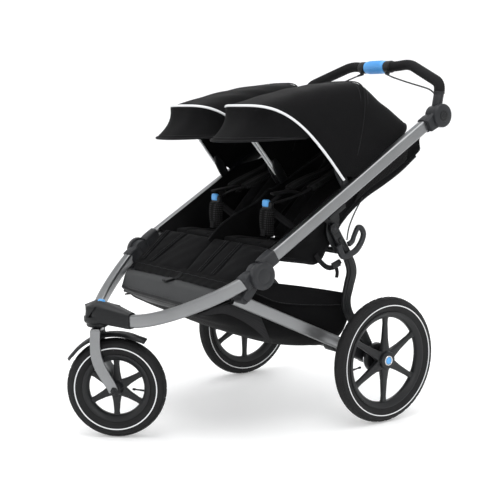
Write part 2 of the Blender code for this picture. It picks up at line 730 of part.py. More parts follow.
def axle_housing(side, legs, leg_end):
    """Brake drum, suspension block, strut ear and the wheel's axle pin."""
    axle = Vector((0, REAR_RADIUS))
    drum = cylinder(sided("axle_housing", side), 0.047, *span(side, DRUM_X - 0.018, DRUM_X), axle)
    start = leg_point(leg_end + GAP)
    neck = plate("neck", capsule(start + (axle - start) * 0.42, axle, 0.024, 0.026),
                 *span(side, DRUM_X - 0.074, DRUM_X - 0.030))
    body = plate("body", capsule(axle, axle + Vector((-0.012, 0.012)), 0.030),
                 *span(side, DRUM_X - 0.0445, DRUM_X - 0.010))
    ear = plate("ear", capsule(axle, STRUT_FOOT, 0.020, 0.013),
                *span(side, STRUT_X + STRUT_THICKNESS + 0.001, DRUM_X - 0.022))
    pin = cylinder("pin", AXLE_PIN_RADIUS, *span(side, DRUM_X - 0.005, TRACK / 2 + 0.0075), axle,
                   sides=16)
    bore = cylinder("bore", AXLE_RADIUS + GAP, *span(side, 0.1, DRUM_X - 0.045 + GAP), axle,
                    sides=16)
    finish(cut(join(drum, [body, neck, ear, pin]), [bore]), "moulded_black", legs)


def struts(upper):
    for side in (1, -1):
        axis = pivot(sided("strut_axis", side), upper, STRUT_TOP)
        low, high = STRUT_X, STRUT_X + STRUT_THICKNESS
        route = [STRUT_TOP, (-0.135, 0.586), (-0.098, 0.530), (-0.078, 0.481), (-0.088, 0.435),
                 (-0.098, 0.388), (-0.086, 0.345), STRUT_FOOT]
        route = smooth_path([(p[0], p[1], 0) for p in route], 0.02, 2)
        bar = plate(sided("strut", side), ribbon(route, STRUT_WIDTH), *span(side, low, high), 0.002)
        eyes = [cylinder("eye", 0.0165, *span(side, low, high), p, sides=16)
                for p in (STRUT_TOP, STRUT_FOOT)]
        bores = [cylinder("bore", STRUT_PIN_RADIUS + RUN, *span(side, low - 0.01, high + 0.01), p,
                          sides=14)
                 for p in (STRUT_TOP, STRUT_FOOT)]
        finish(cut(join(bar, eyes), bores), "moulded_black", axis)


# ---------------------------------------------------------------- upper frame
def upper_frame(upper):
    for side in (1, -1):
        ends = [along_upper(UPPER_START), along_upper(UPPER_START + UPPER_LENGTH)]
        tube = sweep(sided("upper_tube", side), [(side * TUBE_X, *p) for p in ends],
                     oval(TUBE_WIDTH, TUBE_DEPTH))
        finish(tube, "anodised_silver", upper)
        fold_hub(side, upper)
        handle_hub(side, upper)
        strut_bracket(side, upper)
    reach = STRUT_X - 0.0065
    finish(cylinder("seat_cross_bar", CROSS_BAR_RADIUS, -reach, reach, CROSS_BAR, sides=14),
           "anodised_silver", upper)


def tube_sleeve(name, side, start, end):
    """A short moulded sleeve in line with the upper tube."""
    half = TUBE_DEPTH / 2 + SLEEVE_WALL
    outline = [along_upper(start, -half), along_upper(end, -half), along_upper(end, half),
               along_upper(start, half)]
    half_x = TUBE_WIDTH / 2 + 0.0035
    return plate(name, outline, *span(side, TUBE_X - half_x, TUBE_X + half_x), 0.004, 2)


def fold_hub(side, upper):
    """The moving half of the fold hinge, with the hinge pin."""
    face = TUBE_X + TUBE_WIDTH / 2 + GAP
    disc = cylinder(sided("fold_hub", side), FOLD_DISC_RADIUS,
                    *span(side, face, face + DISC_THICKNESS), FOLD_PIVOT, sides=32)
    sleeve = tube_sleeve("sleeve", side, 0.018, UPPER_START + 0.014)
    inner = TUBE_X - TUBE_WIDTH / 2
    pin = cylinder("pin", HINGE_PIN_RADIUS, *span(side, inner + 0.002, face + 0.004), FOLD_PIVOT,
                   sides=16)
    folded = FOLD_PIVOT + Matrix.Rotation(FOLD_ANGLE, 2) @ (LEG_PIVOT - FOLD_PIVOT)
    notch = plate("notch", capsule(FOLD_PIVOT, folded, NECK_RADIUS + 0.002, LUG_RADIUS + 0.003),
                  *span(side, inner - 0.01, inner + TUBE_WIDTH - 0.003))
    room = cylinder("room", INNER_DISC_RADIUS + 0.002,
                    *span(side, TUBE_X - 0.03, face - GAP + 0.0001), FOLD_PIVOT)
    tube = sweep("tube", [(side * TUBE_X, *along_upper(d)) for d in (UPPER_START - GAP, 0.3)],
                 oval(TUBE_WIDTH + 2 * GAP, TUBE_DEPTH + 2 * GAP))
    body = cut(join(disc, [sleeve]), [room, tube, notch])
    finish(join(body, [pin]), "moulded_black", upper)


def handle_hub(side, upper):
    """Housing at the top of the upper tube that the handlebar turns in."""
    face = TUBE_X + BAR_RADIUS + 0.001
    disc = cylinder(sided("handle_hub", side), HANDLE_DISC_RADIUS,
                    *span(side, face, face + DISC_THICKNESS), HANDLE_PIVOT, sides=32)
    end = UPPER_START + UPPER_LENGTH
    sleeve = tube_sleeve("sleeve", side, end - 0.016, end + 0.045)
    web = plate("web", capsule(along_upper(end + 0.02), HANDLE_PIVOT, 0.020, 0.026),
                *span(side, face - 0.003, face + 0.010))
    room = cylinder("room", KNUCKLE_RADIUS + 0.002, *span(side, TUBE_X - 0.03, face - 0.0015),
                    HANDLE_PIVOT)
    tube = sweep("tube", [(side * TUBE_X, *along_upper(d)) for d in (0.3, end + GAP)],
                 oval(TUBE_WIDTH + 2 * GAP, TUBE_DEPTH + 2 * GAP))
    outer = face + DISC_THICKNESS
    pocket = cylinder("pocket", HANDLE_BUTTON_RADIUS + GAP, *span(side, outer - 0.008, outer + 0.01),
                      HANDLE_PIVOT, sides=16)
    pin = cylinder("pin", HINGE_PIN_RADIUS, *span(side, TUBE_X - TUBE_WIDTH / 2 + 0.002,
                                                  face + 0.004), HANDLE_PIVOT, sides=16)
    body = cut(join(disc, [web, sleeve]), [room, tube, pocket])
    finish(join(body, [pin]), "moulded_black", upper)
    button = cylinder(sided("handle_button", side), HANDLE_BUTTON_RADIUS,
                      *span(side, outer - 0.0035, outer + 0.002), HANDLE_PIVOT, sides=16)
    finish(button, "moulded_black", upper)


def strut_bracket(side, upper):
    """Saddle under the upper tube with a plate down to the strut and the cross bar."""
    start = 0.300
    under = -TUBE_DEPTH / 2 - GAP
    outline = [along_upper(start, under), along_upper(start + 0.075, under),
               along_upper(start + 0.070, under - 0.012), along_upper(start + 0.005, under - 0.012)]
    saddle = plate(sided("strut_bracket", side), outline,
                   *span(side, STRUT_X - 0.006, TUBE_X + TUBE_WIDTH / 2 - 0.004))
    web = plate("web", [along_upper(start + 0.005, under - 0.002),
                        along_upper(start + 0.070, under - 0.002),
                        *arc(STRUT_TOP, 0.018, 20, -10, 2),
                        *arc(CROSS_BAR, 0.014, 10, -170, 6),
                        *arc(STRUT_TOP, 0.018, 190, 150, 2)],
                *span(side, STRUT_X - 0.006, STRUT_X - GAP))
    pin = cylinder("pin", STRUT_PIN_RADIUS, *span(side, STRUT_X - 0.004, STRUT_X + 0.014),
                   STRUT_TOP, sides=14)
    bore = cylinder("bore", CROSS_BAR_RADIUS + GAP, *span(side, STRUT_X - 0.02, STRUT_X - 0.0060),
                    CROSS_BAR, sides=14)
    finish(cut(join(saddle, [web, pin]), [bore]), "moulded_black", upper)


# ------------------------------------------------------------------ handlebar
def handlebar(bar):
    arm_x = TUBE_X
    bends = [HANDLE_PIVOT + Vector(step) for step in ((0, 0), (0.002, 0.087), (0.016, 0.134))]
    side_path = [(arm_x, *bend) for bend in bends] + [(GRIP_HALF, *GRIP_POINT)]
    path = side_path + [(-x, y, z) for x, y, z in reversed(side_path)]
    tube = rod("handlebar", smooth_path(path, 0.045, 4), BAR_RADIUS, 12)
    knuckles = [cylinder("knuckle", KNUCKLE_RADIUS, *span(s, TUBE_X - 0.015, TUBE_X + 0.0155),
                         HANDLE_PIVOT) for s in (1, -1)]
    first, last = BRAKE_GRIP_X
    collars = [cylinder("collar", COLLAR_RADIUS, start, start + COLLAR_LENGTH, GRIP_POINT, sides=16)
               for start in (first - GAP - COLLAR_LENGTH, last + GAP)]
    bores = [cylinder("bore", HINGE_PIN_RADIUS + RUN, *span(s, TUBE_X - 0.03, TUBE_X + 0.03),
                      HANDLE_PIVOT, sides=16) for s in (1, -1)]
    finish(cut(join(tube, knuckles + collars), bores), "grip_foam", bar)
    grip_axis = pivot("brake_grip_axis", bar, GRIP_POINT)
    sleeve = turned("brake_grip", [(last, BAR_RADIUS + RUN), (last, BRAKE_GRIP_RADIUS - 0.002),
                                   (last - 0.003, BRAKE_GRIP_RADIUS),
                                   (first + 0.003, BRAKE_GRIP_RADIUS),
                                   (first, BRAKE_GRIP_RADIUS - 0.002), (first, BAR_RADIUS + RUN)], 32)
    sleeve.data.transform(Matrix.Translation((0, *GRIP_POINT)))
    finish(sleeve, "blue_plastic", grip_axis)
    for side in (1, -1):
        start = last + COLLAR_LENGTH / 2 if side > 0 else -first + COLLAR_LENGTH / 2
        inside = TUBE_X - BAR_RADIUS - 0.001
        clear = COLLAR_RADIUS + CABLE_RADIUS + 0.0034
        steps = [(start, -0.455 * clear, -0.890 * clear), (start + 0.030, -0.022, -0.034),
                 (0.170, -0.044, -0.052), (0.240, -0.066, -0.066),
                 (inside - 0.0235, -0.080, -0.078), (inside, -0.082, -0.094)]
        route = [(x, GRIP_POINT.x + y, GRIP_POINT.y + z) for x, y, z in steps]
        cable = rod(sided("brake_cable", side), mirrored(smooth_path(route, 0.03, 2), side),
                    CABLE_RADIUS, 6)
        finish(cable, "cable_jacket", bar)


# ----------------------------------------------------------------- soft goods
def seats(upper):
    for side in (1, -1):
        pan = pad(sided("seat", side), PAN_FRONT, PAN_REAR, PAN_THICKNESS,
                  *span(side, SEAT_INNER_X, SEAT_WALL_X + 0.001), 0.006)
        outline = [(-0.370, 0.553), (-0.230, 0.526), (-0.204, 0.545), (-0.152, 0.595),
                   (-0.076, 0.684), (0.100, 0.802), (0.100, 0.878), (-0.370, 0.590)]
        wall = plate("wall", outline, *span(side, SEAT_WALL_X, SEAT_WALL_X + SEAT_WALL))
        finish(join(pan, [wall]), "black_fabric", upper)
        recline = pivot(sided("recline_axis", side), upper, RECLINE_PIVOT)
        run = Vector((math.cos(BACK_SLOPE), math.sin(BACK_SLOPE)))
        normal = Vector((-run.y, run.x))
        first = RECLINE_PIVOT + run * 0.012 + normal * BACK_THICKNESS / 2
        back = pad(sided("backrest", side), first, first + run * BACK_LENGTH, BACK_THICKNESS,
                   *span(side, SEAT_INNER_X + BACKREST_INSET, SEAT_WALL_X - BACKREST_INSET), 0.010)
        finish(back, "black_fabric", recline)
        face = first + normal * 0.004
        harness = pad(sided("harness", side), face + run * 0.150 + normal * 0.022,
                      face + run * 0.400 + normal * 0.022, 0.022,
                      *span(side, SEAT_MIDDLE - HARNESS_WIDTH / 2, SEAT_MIDDLE + HARNESS_WIDTH / 2),
                      0.006)
        finish(harness, "black_fabric", recline)
        buckle(side, upper)
    outline = [(-0.370, 0.556), (-0.206, 0.528), (-0.168, 0.585), (-0.076, 0.690), (0.060, 0.790),
               (0.060, 0.840), (-0.169, 0.714), (-0.298, 0.659), (-0.370, 0.602)]
    divider = plate("seat_divider", outline, -0.005, 0.005)
    finish(divider, "black_fabric", upper)


def buckle(side, upper):
    """Harness buckle on its padded crotch strap, with the release button on top."""
    x = SEAT_MIDDLE
    foot, head = Vector((-0.285, 0.585)), Vector((-0.290, 0.680))
    body = plate(sided("buckle", side), capsule(foot, head, 0.008, 0.010),
                 *span(side, x - BUCKLE_WIDTH / 2, x + BUCKLE_WIDTH / 2), 0.003)
    seat = head.x - 0.0055
    centre = (side * x, head.y - 0.005)
    pocket = cylinder("pocket", BUTTON_RADIUS + GAP, -0.320, seat, centre, "Y", sides=16)
    finish(cut(body, [pocket]), "moulded_black", upper)
    button = cylinder(sided("buckle_button", side), BUTTON_RADIUS, seat - 0.0075, seat - 0.0026,
                      centre, "Y", sides=16)
    finish(button, "blue_plastic", upper)


def canopy_radius(angle):
    """Distance of the canopy's crown from its pivot, by angle from +y."""
    turn = math.radians(max(angle, 70.0))
    straight = CREST_RADIUS / (math.sin(turn) - CREST_FALL * math.cos(turn))
    return straight + 0.0009 * max(70.0 - angle, 0.0)


def canopy_arch(angle, low, high, inner, crown, steps, first=0.0):
    """One hoop of the canopy in the half plane at an angle about the pivot."""
    middle, half = (low + high) / 2, (high - low) / 2
    points = []
    for i in range(steps + 1):
        turn = first + (math.pi - 2 * first) * i / steps
        c, s = math.cos(turn), math.sin(turn)
        x = middle + half * math.copysign(abs(c) ** 0.48, c)
        reach = inner + (crown - inner) * max(s, 0.0) ** 0.55
        y = CANOPY_PIVOT.x + reach * math.cos(math.radians(angle))
        z = CANOPY_PIVOT.y + reach * math.sin(math.radians(angle))
        points.append(Vector((x, y, z)))
    return points


def canopies(upper):
    for side in (1, -1):
        low, high = span(side, *CANOPY_X)
        rows = [canopy_arch(a, low, high, CANOPY_FOOT, canopy_radius(a), 14)
                for a in (SEAM_ANGLE - 2.5, 118, 104, 90, 76, 62, 48, 36, 30)]
        hood = skin(sided("canopy_hood", side), rows, CANOPY_WALL)
        finish(hood, "black_fabric", upper)
        axis = pivot(sided("canopy_axis", side), upper, CANOPY_PIVOT)
        visor(side, axis, low, high)


def visor(side, axis, low, high):
    """The brim that hangs forward from the front hoop."""
    seam = canopy_arch(SEAM_ANGLE, low, high, CANOPY_FOOT, canopy_radius(SEAM_ANGLE), 14, 0.28)
    middle, half = (low + high) / 2, (high - low) / 2 - 0.002
    lip = []
    for i in range(15):
        turn = math.pi * i / 14
        lip.append(Vector((middle + half * math.cos(turn),
                           -0.272 - 0.211 * math.sin(turn) ** 0.75,
                           0.903 - 0.006 * math.sin(turn))))
    rows = []
    for t in (0.0, 0.33, 0.66, 1.0):
        row = []
        for i, (top, foot) in enumerate(zip(seam, lip)):
            hollow = 0.022 * math.sin(math.pi * t) * math.sin(math.pi * i / 14)
            row.append(top.lerp(foot, t) + Vector((0, hollow, 0)))
        rows.append(row)
    brim = skin(sided("canopy_visor", side), rows, CANOPY_WALL, 0.0)
    finish(brim, "black_fabric", axis)


def basket(legs):
    """Sling basket under the seats, open at the top."""
    stations = [(-0.590, 0.376, 0.392), (-0.530, 0.345, 0.402), (-0.400, 0.285, 0.432),
                (-0.260, 0.238, 0.425), (-0.130, 0.214, 0.404), (-0.075, 0.216, 0.394),
                (-0.052, 0.250, 0.390), (-0.046, 0.372, 0.388)]
    rows = []
    for y, floor, top in stations:
        half = BASKET_HALF + (y - LEG_PIVOT.x) * BASKET_SPLAY
        row = []
        for i in range(13):
            turn = math.pi * i / 12
            c, s = math.cos(turn), math.sin(turn)
            row.append((half * math.copysign(abs(c) ** 0.45, c), y, top - (top - floor) * s ** 0.6))
        rows.append(row)
    finish(skin("basket", rows, BASKET_WALL), "black_fabric", legs)


def front_reach():
    """How far the front tyre or its guard reaches ahead of the rear axle."""
    wheel_y = SWIVEL_Y + TRAIL * math.cos(STEER)
    tyre_reach = FRONT_RADIUS * math.cos(STEER) + FRONT_TYRE_WIDTH / 2 * math.sin(STEER)
    return -(wheel_y - tyre_reach)


def build():
    rear_reach = GRIP_POINT.x + BRAKE_GRIP_RADIUS
    root = make_empty("stroller", None, (0, (front_reach() - rear_reach) / 2, 0))
    lower_frame(root)
    swivel_lock(root)
    caster_group(root)
    legs = pivot("leg_axis", root, LEG_PIVOT)
    rear_chassis(legs)
    basket(legs)
    for side in (1, -1):
        rear_wheel(side, legs)
    upper = pivot("fold_axis", root, FOLD_PIVOT)
    upper_frame(upper)
    struts(upper)
    seats(upper)
    canopies(upper)
    handlebar(pivot("handle_axis", upper, HANDLE_PIVOT))


clear_scene()
PARTS = make_collection("jogging_stroller")
CUTTERS = make_collection("cutters")
MATERIALS = {name: make_material(name) for name in FINISH}
build()
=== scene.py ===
"""Side-by-side double jogging stroller: the finished look around its fixed frame.

Every piece is made in metres in the frame's own axes: +Z up, -Y towards the front
wheel, +X towards the child's left. Places are given from the rear axle, as in the
frame, and at() moves them to the origin.
"""
import json
import math

import bmesh
import bpy
import numpy as np
from mathutils import Matrix, Vector

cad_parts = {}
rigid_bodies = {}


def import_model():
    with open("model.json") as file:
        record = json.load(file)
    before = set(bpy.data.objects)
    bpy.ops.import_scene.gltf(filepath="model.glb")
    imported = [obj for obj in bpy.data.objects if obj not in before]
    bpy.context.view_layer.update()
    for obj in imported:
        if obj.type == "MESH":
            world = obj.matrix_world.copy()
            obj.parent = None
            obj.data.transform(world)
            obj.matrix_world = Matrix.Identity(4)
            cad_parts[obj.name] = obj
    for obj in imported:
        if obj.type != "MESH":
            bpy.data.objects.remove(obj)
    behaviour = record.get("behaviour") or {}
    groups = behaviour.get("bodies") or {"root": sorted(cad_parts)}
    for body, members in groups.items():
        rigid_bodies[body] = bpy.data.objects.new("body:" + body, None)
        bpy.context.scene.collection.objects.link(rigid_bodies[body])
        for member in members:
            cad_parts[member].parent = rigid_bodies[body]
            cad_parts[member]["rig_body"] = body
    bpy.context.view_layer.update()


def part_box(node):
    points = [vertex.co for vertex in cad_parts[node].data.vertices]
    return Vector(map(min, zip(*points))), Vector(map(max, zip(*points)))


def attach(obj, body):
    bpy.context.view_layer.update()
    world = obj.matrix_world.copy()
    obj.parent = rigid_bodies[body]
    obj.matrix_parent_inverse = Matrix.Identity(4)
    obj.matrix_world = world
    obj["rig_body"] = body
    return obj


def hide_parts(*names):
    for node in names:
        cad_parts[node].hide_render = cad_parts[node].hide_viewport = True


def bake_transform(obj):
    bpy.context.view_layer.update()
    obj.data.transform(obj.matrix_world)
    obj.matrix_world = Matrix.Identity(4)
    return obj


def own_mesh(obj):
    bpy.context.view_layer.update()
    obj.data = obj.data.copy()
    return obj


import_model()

bl_info = {
    "name": "Jogging stroller",
    "version": (1, 0, 0),
    "blender": (4, 5, 0),
    "location": "View3D > Sidebar > Stroller",
    "description": "Builds a side-by-side double jogging stroller piece by piece",
    "category": "Add Mesh",
}

UP = Vector((0, 0, 1))
SIDES = ((1, "left"), (-1, "right"))


def middle(node):
    low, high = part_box(node)
    return (Vector(low) + Vector(high)) / 2


AXLE_Y = middle("rear_axle").y
REAR_RADIUS = middle("rear_tyre_left").z
REAR_X = middle("rear_tyre_left").x
FRONT_CENTRE = middle("front_tyre")
FRONT_RADIUS = FRONT_CENTRE.z

# frame tubes and pivots, (y, z) from the rear axle
TUBE_X = 0.326
UPPER_SLOPE = math.radians(31.64)
UPPER_START = 0.062
UPPER_END = 0.797
UPPER_RISE = 0.014
FOLD_PIVOT = (-0.469, 0.505)
LEG_PIVOT = (-0.515, 0.4365)
STRUT_TOP = (-0.156, 0.619)
STRUT_FOOT = (-0.045, 0.290)
HANDLE_PIVOT = (0.2408, 0.960)
LOWER_START = (-0.504, 0.493)
CANOPY_PIVOT = (-0.125, 0.745)
CANOPY_X = (0.008, 0.306)
CREST_ANGLE = 70.0
CREST_RADIUS = 0.3139
CREST_FALL = 0.0612
SEAM_ANGLE = 131.0
HOOP_FOOT = 0.030
BACK_SLOPE = math.radians(46)
BACK_LENGTH = 0.430
RECLINE_PIVOT = (-0.190, 0.558)
PAN_FRONT = (-0.372, 0.585)
PAN_REAR = (-0.200, 0.560)
LEG_PANEL = ((-0.391, 0.578), (-0.512, 0.476))
LEG_X = 0.235
GRIP_POINT = (0.3058, 1.124)
SWIVEL_Y = -0.820
TRAIL = 0.057
STEER = math.radians(39.5)
HEAD_TOP = 0.409
SEAT_X = (0.010, 0.268)
SEAT_MIDDLE = 0.139


# ------------------------------------------------------------- small helpers
def at(x, y, z):
    """A point given from the rear axle, in the frame's axes."""
    return Vector((x, y + AXLE_Y, z))


def along_upper(distance, height=0.0, x=0.0):
    """A point along the upper tube's middle line, from the fold pivot."""
    c, s = math.cos(UPPER_SLOPE), math.sin(UPPER_SLOPE)
    rise = height + UPPER_RISE
    return at(x, FOLD_PIVOT[0] + c * distance - s * rise, FOLD_PIVOT[1] + s * distance + c * rise)


def linear(colour):
    """An sRGB hex colour, or a user's colour that is linear already, as linear RGBA."""
    if not isinstance(colour, str):
        return (*colour[:3], 1.0)
    digits = colour.lstrip("#")
    channels = []
    for i in (0, 2, 4):
        value = int(digits[i:i + 2], 16) / 255
        channels.append(value / 12.92 if value <= 0.04045 else ((value + 0.055) / 1.055) ** 2.4)
    return (*channels, 1.0)


def curve_through(points, steps=6):
    """A smooth Catmull-Rom line through points."""
    pts = [Vector(p) for p in points]
    pts = [2 * pts[0] - pts[1]] + pts + [2 * pts[-1] - pts[-2]]
    line = []
    for a, b, c, d in zip(pts, pts[1:], pts[2:], pts[3:]):
        for i in range(steps):
            t = i / steps
            line.append(0.5 * (2 * b + (c - a) * t + (2 * a - 5 * b + 4 * c - d) * t ** 2
                               + (3 * b - a - 3 * c + d) * t ** 3))
    return line + [pts[-2]]


def rounded_box(width, depth, radius, steps=4):
    """A section with rounded corners, wide in u and deep in v."""
    points = []
    for corner, (u, v) in enumerate(((1, 1), (-1, 1), (-1, -1), (1, -1))):
        for i in range(steps + 1):
            turn = math.pi / 2 * (corner + i / steps)
            points.append((u * (width / 2 - radius) + radius * math.cos(turn),
                           v * (depth / 2 - radius) + radius * math.sin(turn)))
    return points


def ring(radius, sides=16):
    return [(radius * math.cos(2 * math.pi * i / sides), radius * math.sin(2 * math.pi * i / sides))
            for i in range(sides)]


# ------------------------------------- shapes: each is (points, faces, uvs)
def swept(path, section, upright=True, sizes=None, closed=False):
    """A closed section carried along a path, with capped ends."""
    path = [Vector(p) for p in path]
    count, around = len(path), len(section)
    points, uvs, side, run_length = [], [], None, 0.0
    girth = [0.0]
    for p, q in zip(section, section[1:]):
        girth.append(girth[-1] + math.dist(p, q))
    for i, place in enumerate(path):
        before = path[i - 1] if closed or i else place
        after = path[(i + 1) % count] if closed or i < count - 1 else place
        run = (after - before).normalized()
        if upright:
            side = run.cross(UP).normalized()
        elif side is None:
            side = run.orthogonal().normalized()
        else:
            side = (side - run * side.dot(run)).normalized()
        rise = side.cross(run)
        su, sv = sizes[i] if sizes else (1, 1)
        run_length += (place - path[i - 1]).length if i else 0.0
        for (u, v), g in zip(section, girth):
            points.append(place + side * u * su + rise * v * sv)
            uvs.append((g, run_length))
    faces = []
    for i in range(count if closed else count - 1):
        j = (i + 1) % count
        for k in range(around):
            n = (k + 1) % around
            faces.append((i * around + k, i * around + n, j * around + n, j * around + k))
    if not closed:
        faces += [tuple(range(around))[::-1],
                  tuple(range((count - 1) * around, count * around))]
    return points, faces, uvs


def turned(profile, steps=64, hollow=True):
    """A profile of (x, radius) points turned about the X axis."""
    points, faces = [], []
    around = len(profile)
    for i in range(steps):
        turn = 2 * math.pi * i / steps
        points += [Vector((x, r * math.cos(turn), r * math.sin(turn))) for x, r in profile]
    for i in range(steps):
        j = (i + 1) % steps
        for k in range(around if hollow else around - 1):
            n = (k + 1) % around
            faces.append((i * around + k, i * around + n, j * around + n, j * around + k))
    return points, faces, [(p.x, p.y + p.z) for p in points]


def grid(rows):
    """An open sheet through rows of points, with uvs in metres along it."""
    across = len(rows[0])
    points, uvs, faces = [], [], []
    down = 0.0
    for j, row in enumerate(rows):
        if j:
            down += (Vector(row[across // 2]) - Vector(rows[j - 1][across // 2])).length
        along = 0.0
        for i, point in enumerate(row):
            along += (Vector(point) - Vector(row[i - 1])).length if i else 0.0
            points.append(Vector(point))
            uvs.append((along, down))
    for j in range(len(rows) - 1):
        for i in range(across - 1):
            a = j * across + i
            faces.append((a, a + 1, a + across + 1, a + across))
    return points, faces, uvs


def hull(points):
    """The convex shell around points."""
    bm = bmesh.new()
    for point in points:
        bm.verts.new(point)
    result = bmesh.ops.convex_hull(bm, input=bm.verts)
    loose = [v for v in result["geom_interior"] + result["geom_unused"]
             if isinstance(v, bmesh.types.BMVert)]
    bmesh.ops.delete(bm, geom=list(set(loose)), context="VERTS")
    bmesh.ops.dissolve_limit(bm, angle_limit=math.radians(4), verts=bm.verts, edges=bm.edges)
    bm.verts.index_update()
    shape = ([v.co.copy() for v in bm.verts], [tuple(v.index for v in f.verts) for f in bm.faces])
    bm.free()
    return (*shape, [(p.x, p.y) for p in shape[0]])


def moved(shape, matrix):
    points, faces, uvs = shape
    return [matrix @ Vector(p) for p in points], faces, uvs


def disc(low, high, radius, y, z, edge=0.002, dish=0.0, steps=48):
    """A moulded disc along X with a softened edge and an optional dished middle."""
    sign = 1 if high > low else -1
    profile = [(low, 0.0), (low, radius), (high - sign * edge, radius),
               (high - sign * edge * 0.3, radius - edge * 0.3), (high, radius - edge)]
    if dish:
        profile += [(high, radius * 0.62), (high - sign * dish, radius * 0.58),
                    (high - sign * dish, radius * 0.50), (high, radius * 0.46)]
    profile.append((high, 0.0))
    return moved(turned(profile, steps, False), Matrix.Translation(at(0, y, z)))


# --------------------------------------------------------------- materials
def add(tree, kind, links=None, **settings):
    """A node with its settings; links maps inputs to values or to other sockets."""
    node = tree.nodes.new(kind)
    for key, value in settings.items():
        setattr(node, key, value)
    for key, value in (links or {}).items():
        if isinstance(value, bpy.types.NodeSocket):
            tree.links.new(value, node.inputs[key])
        else:
            node.inputs[key].default_value = value
    return node


def surface(name, base, roughness, metallic=0.0, **extra):
    """A material with its shader's constants set on the shader's own sockets."""
    material = bpy.data.materials.new(name)
    material.use_nodes = True
    tree = material.node_tree
    shader = tree.nodes["Principled BSDF"]
    shader.inputs["Base Color"].default_value = linear(base)
    shader.inputs["Roughness"].default_value = roughness
    shader.inputs["Metallic"].default_value = metallic
    for key, value in extra.items():
        shader.inputs[key.replace("_", " ")].default_value = value
    material.diffuse_color = linear(base)
    return material, tree, shader


def grained(name, base, light, roughness, grain, relief, metallic=0.0, spread=0.08, **extra):
    """A moulded or cast surface: grain in metres, relief in metres, slight colour change."""
    material, tree, shader = surface(name, base, roughness, metallic, **extra)
    coords = add(tree, "ShaderNodeTexCoord").outputs["Object"]
    fine = add(tree, "ShaderNodeTexNoise", {"Vector": coords, "Scale": 1 / grain, "Detail": 3.0})
    wide = add(tree, "ShaderNodeTexNoise", {"Vector": coords, "Scale": 14.0, "Detail": 4.0})
    tint = add(tree, "ShaderNodeMix", {"Factor": wide.outputs["Fac"], 6: linear(base),
                                       7: linear(light)}, data_type="RGBA")
    gloss = add(tree, "ShaderNodeMapRange", {"Value": wide.outputs["Fac"], "From Min": 0.3,
                                             "From Max": 0.7, "To Min": roughness - spread,
                                             "To Max": roughness + spread})
    bump = add(tree, "ShaderNodeBump", {"Height": fine.outputs["Fac"], "Distance": relief,
                                        "Strength": 0.6})
    tree.links.new(tint.outputs[2], shader.inputs["Base Color"])
    tree.links.new(gloss.outputs["Result"], shader.inputs["Roughness"])
    tree.links.new(bump.outputs["Normal"], shader.inputs["Normal"])
    return material


def woven(name, dark, light, thread, relief, roughness=0.85, coords="UV", holes=False, sheen=0.012):
    """Cloth: warp and weft as crossed waves, thread in metres between two yarns."""
    material, tree, shader = surface(name, dark, roughness, Sheen_Weight=sheen,
                                     Sheen_Roughness=0.5, Specular_IOR_Level=0.10)
    place = add(tree, "ShaderNodeTexCoord").outputs[coords]
    rate = 0.314 / thread
    warp = add(tree, "ShaderNodeTexWave", {"Vector": place, "Scale": rate, "Distortion": 0.6},
               bands_direction="X")
    weft = add(tree, "ShaderNodeTexWave", {"Vector": place, "Scale": rate, "Distortion": 0.6},
               bands_direction="Y" if coords == "UV" else "Z")
    weave = add(tree, "ShaderNodeMath", {0: warp.outputs["Fac"], 1: weft.outputs["Fac"]},
                operation="MULTIPLY")
    body = add(tree, "ShaderNodeTexCoord").outputs["Object"]
    cloud = add(tree, "ShaderNodeTexNoise", {"Vector": body, "Scale": 11.0, "Detail": 5.0,
                                             "Roughness": 0.6})
    share = add(tree, "ShaderNodeMath", {0: weave.outputs[0], 1: cloud.outputs["Fac"]},
                operation="MULTIPLY")
    if holes:
        share = add(tree, "ShaderNodeMath", {0: weave.outputs[0], 1: 0.35}, operation="GREATER_THAN")
    tint = add(tree, "ShaderNodeMix", {"Factor": share.outputs[0], 6: linear(dark),
                                       7: linear(light)}, data_type="RGBA")
    bump = add(tree, "ShaderNodeBump", {"Height": weave.outputs[0], "Distance": relief,
                                        "Strength": 0.5})
    soft = add(tree, "ShaderNodeBump", {"Height": cloud.outputs["Fac"], "Distance": 0.004,
                                        "Strength": 0.35, "Normal": bump.outputs["Normal"]})
    tree.links.new(tint.outputs[2], shader.inputs["Base Color"])
    tree.links.new(soft.outputs["Normal"], shader.inputs["Normal"])
    return material


FINISH = {}


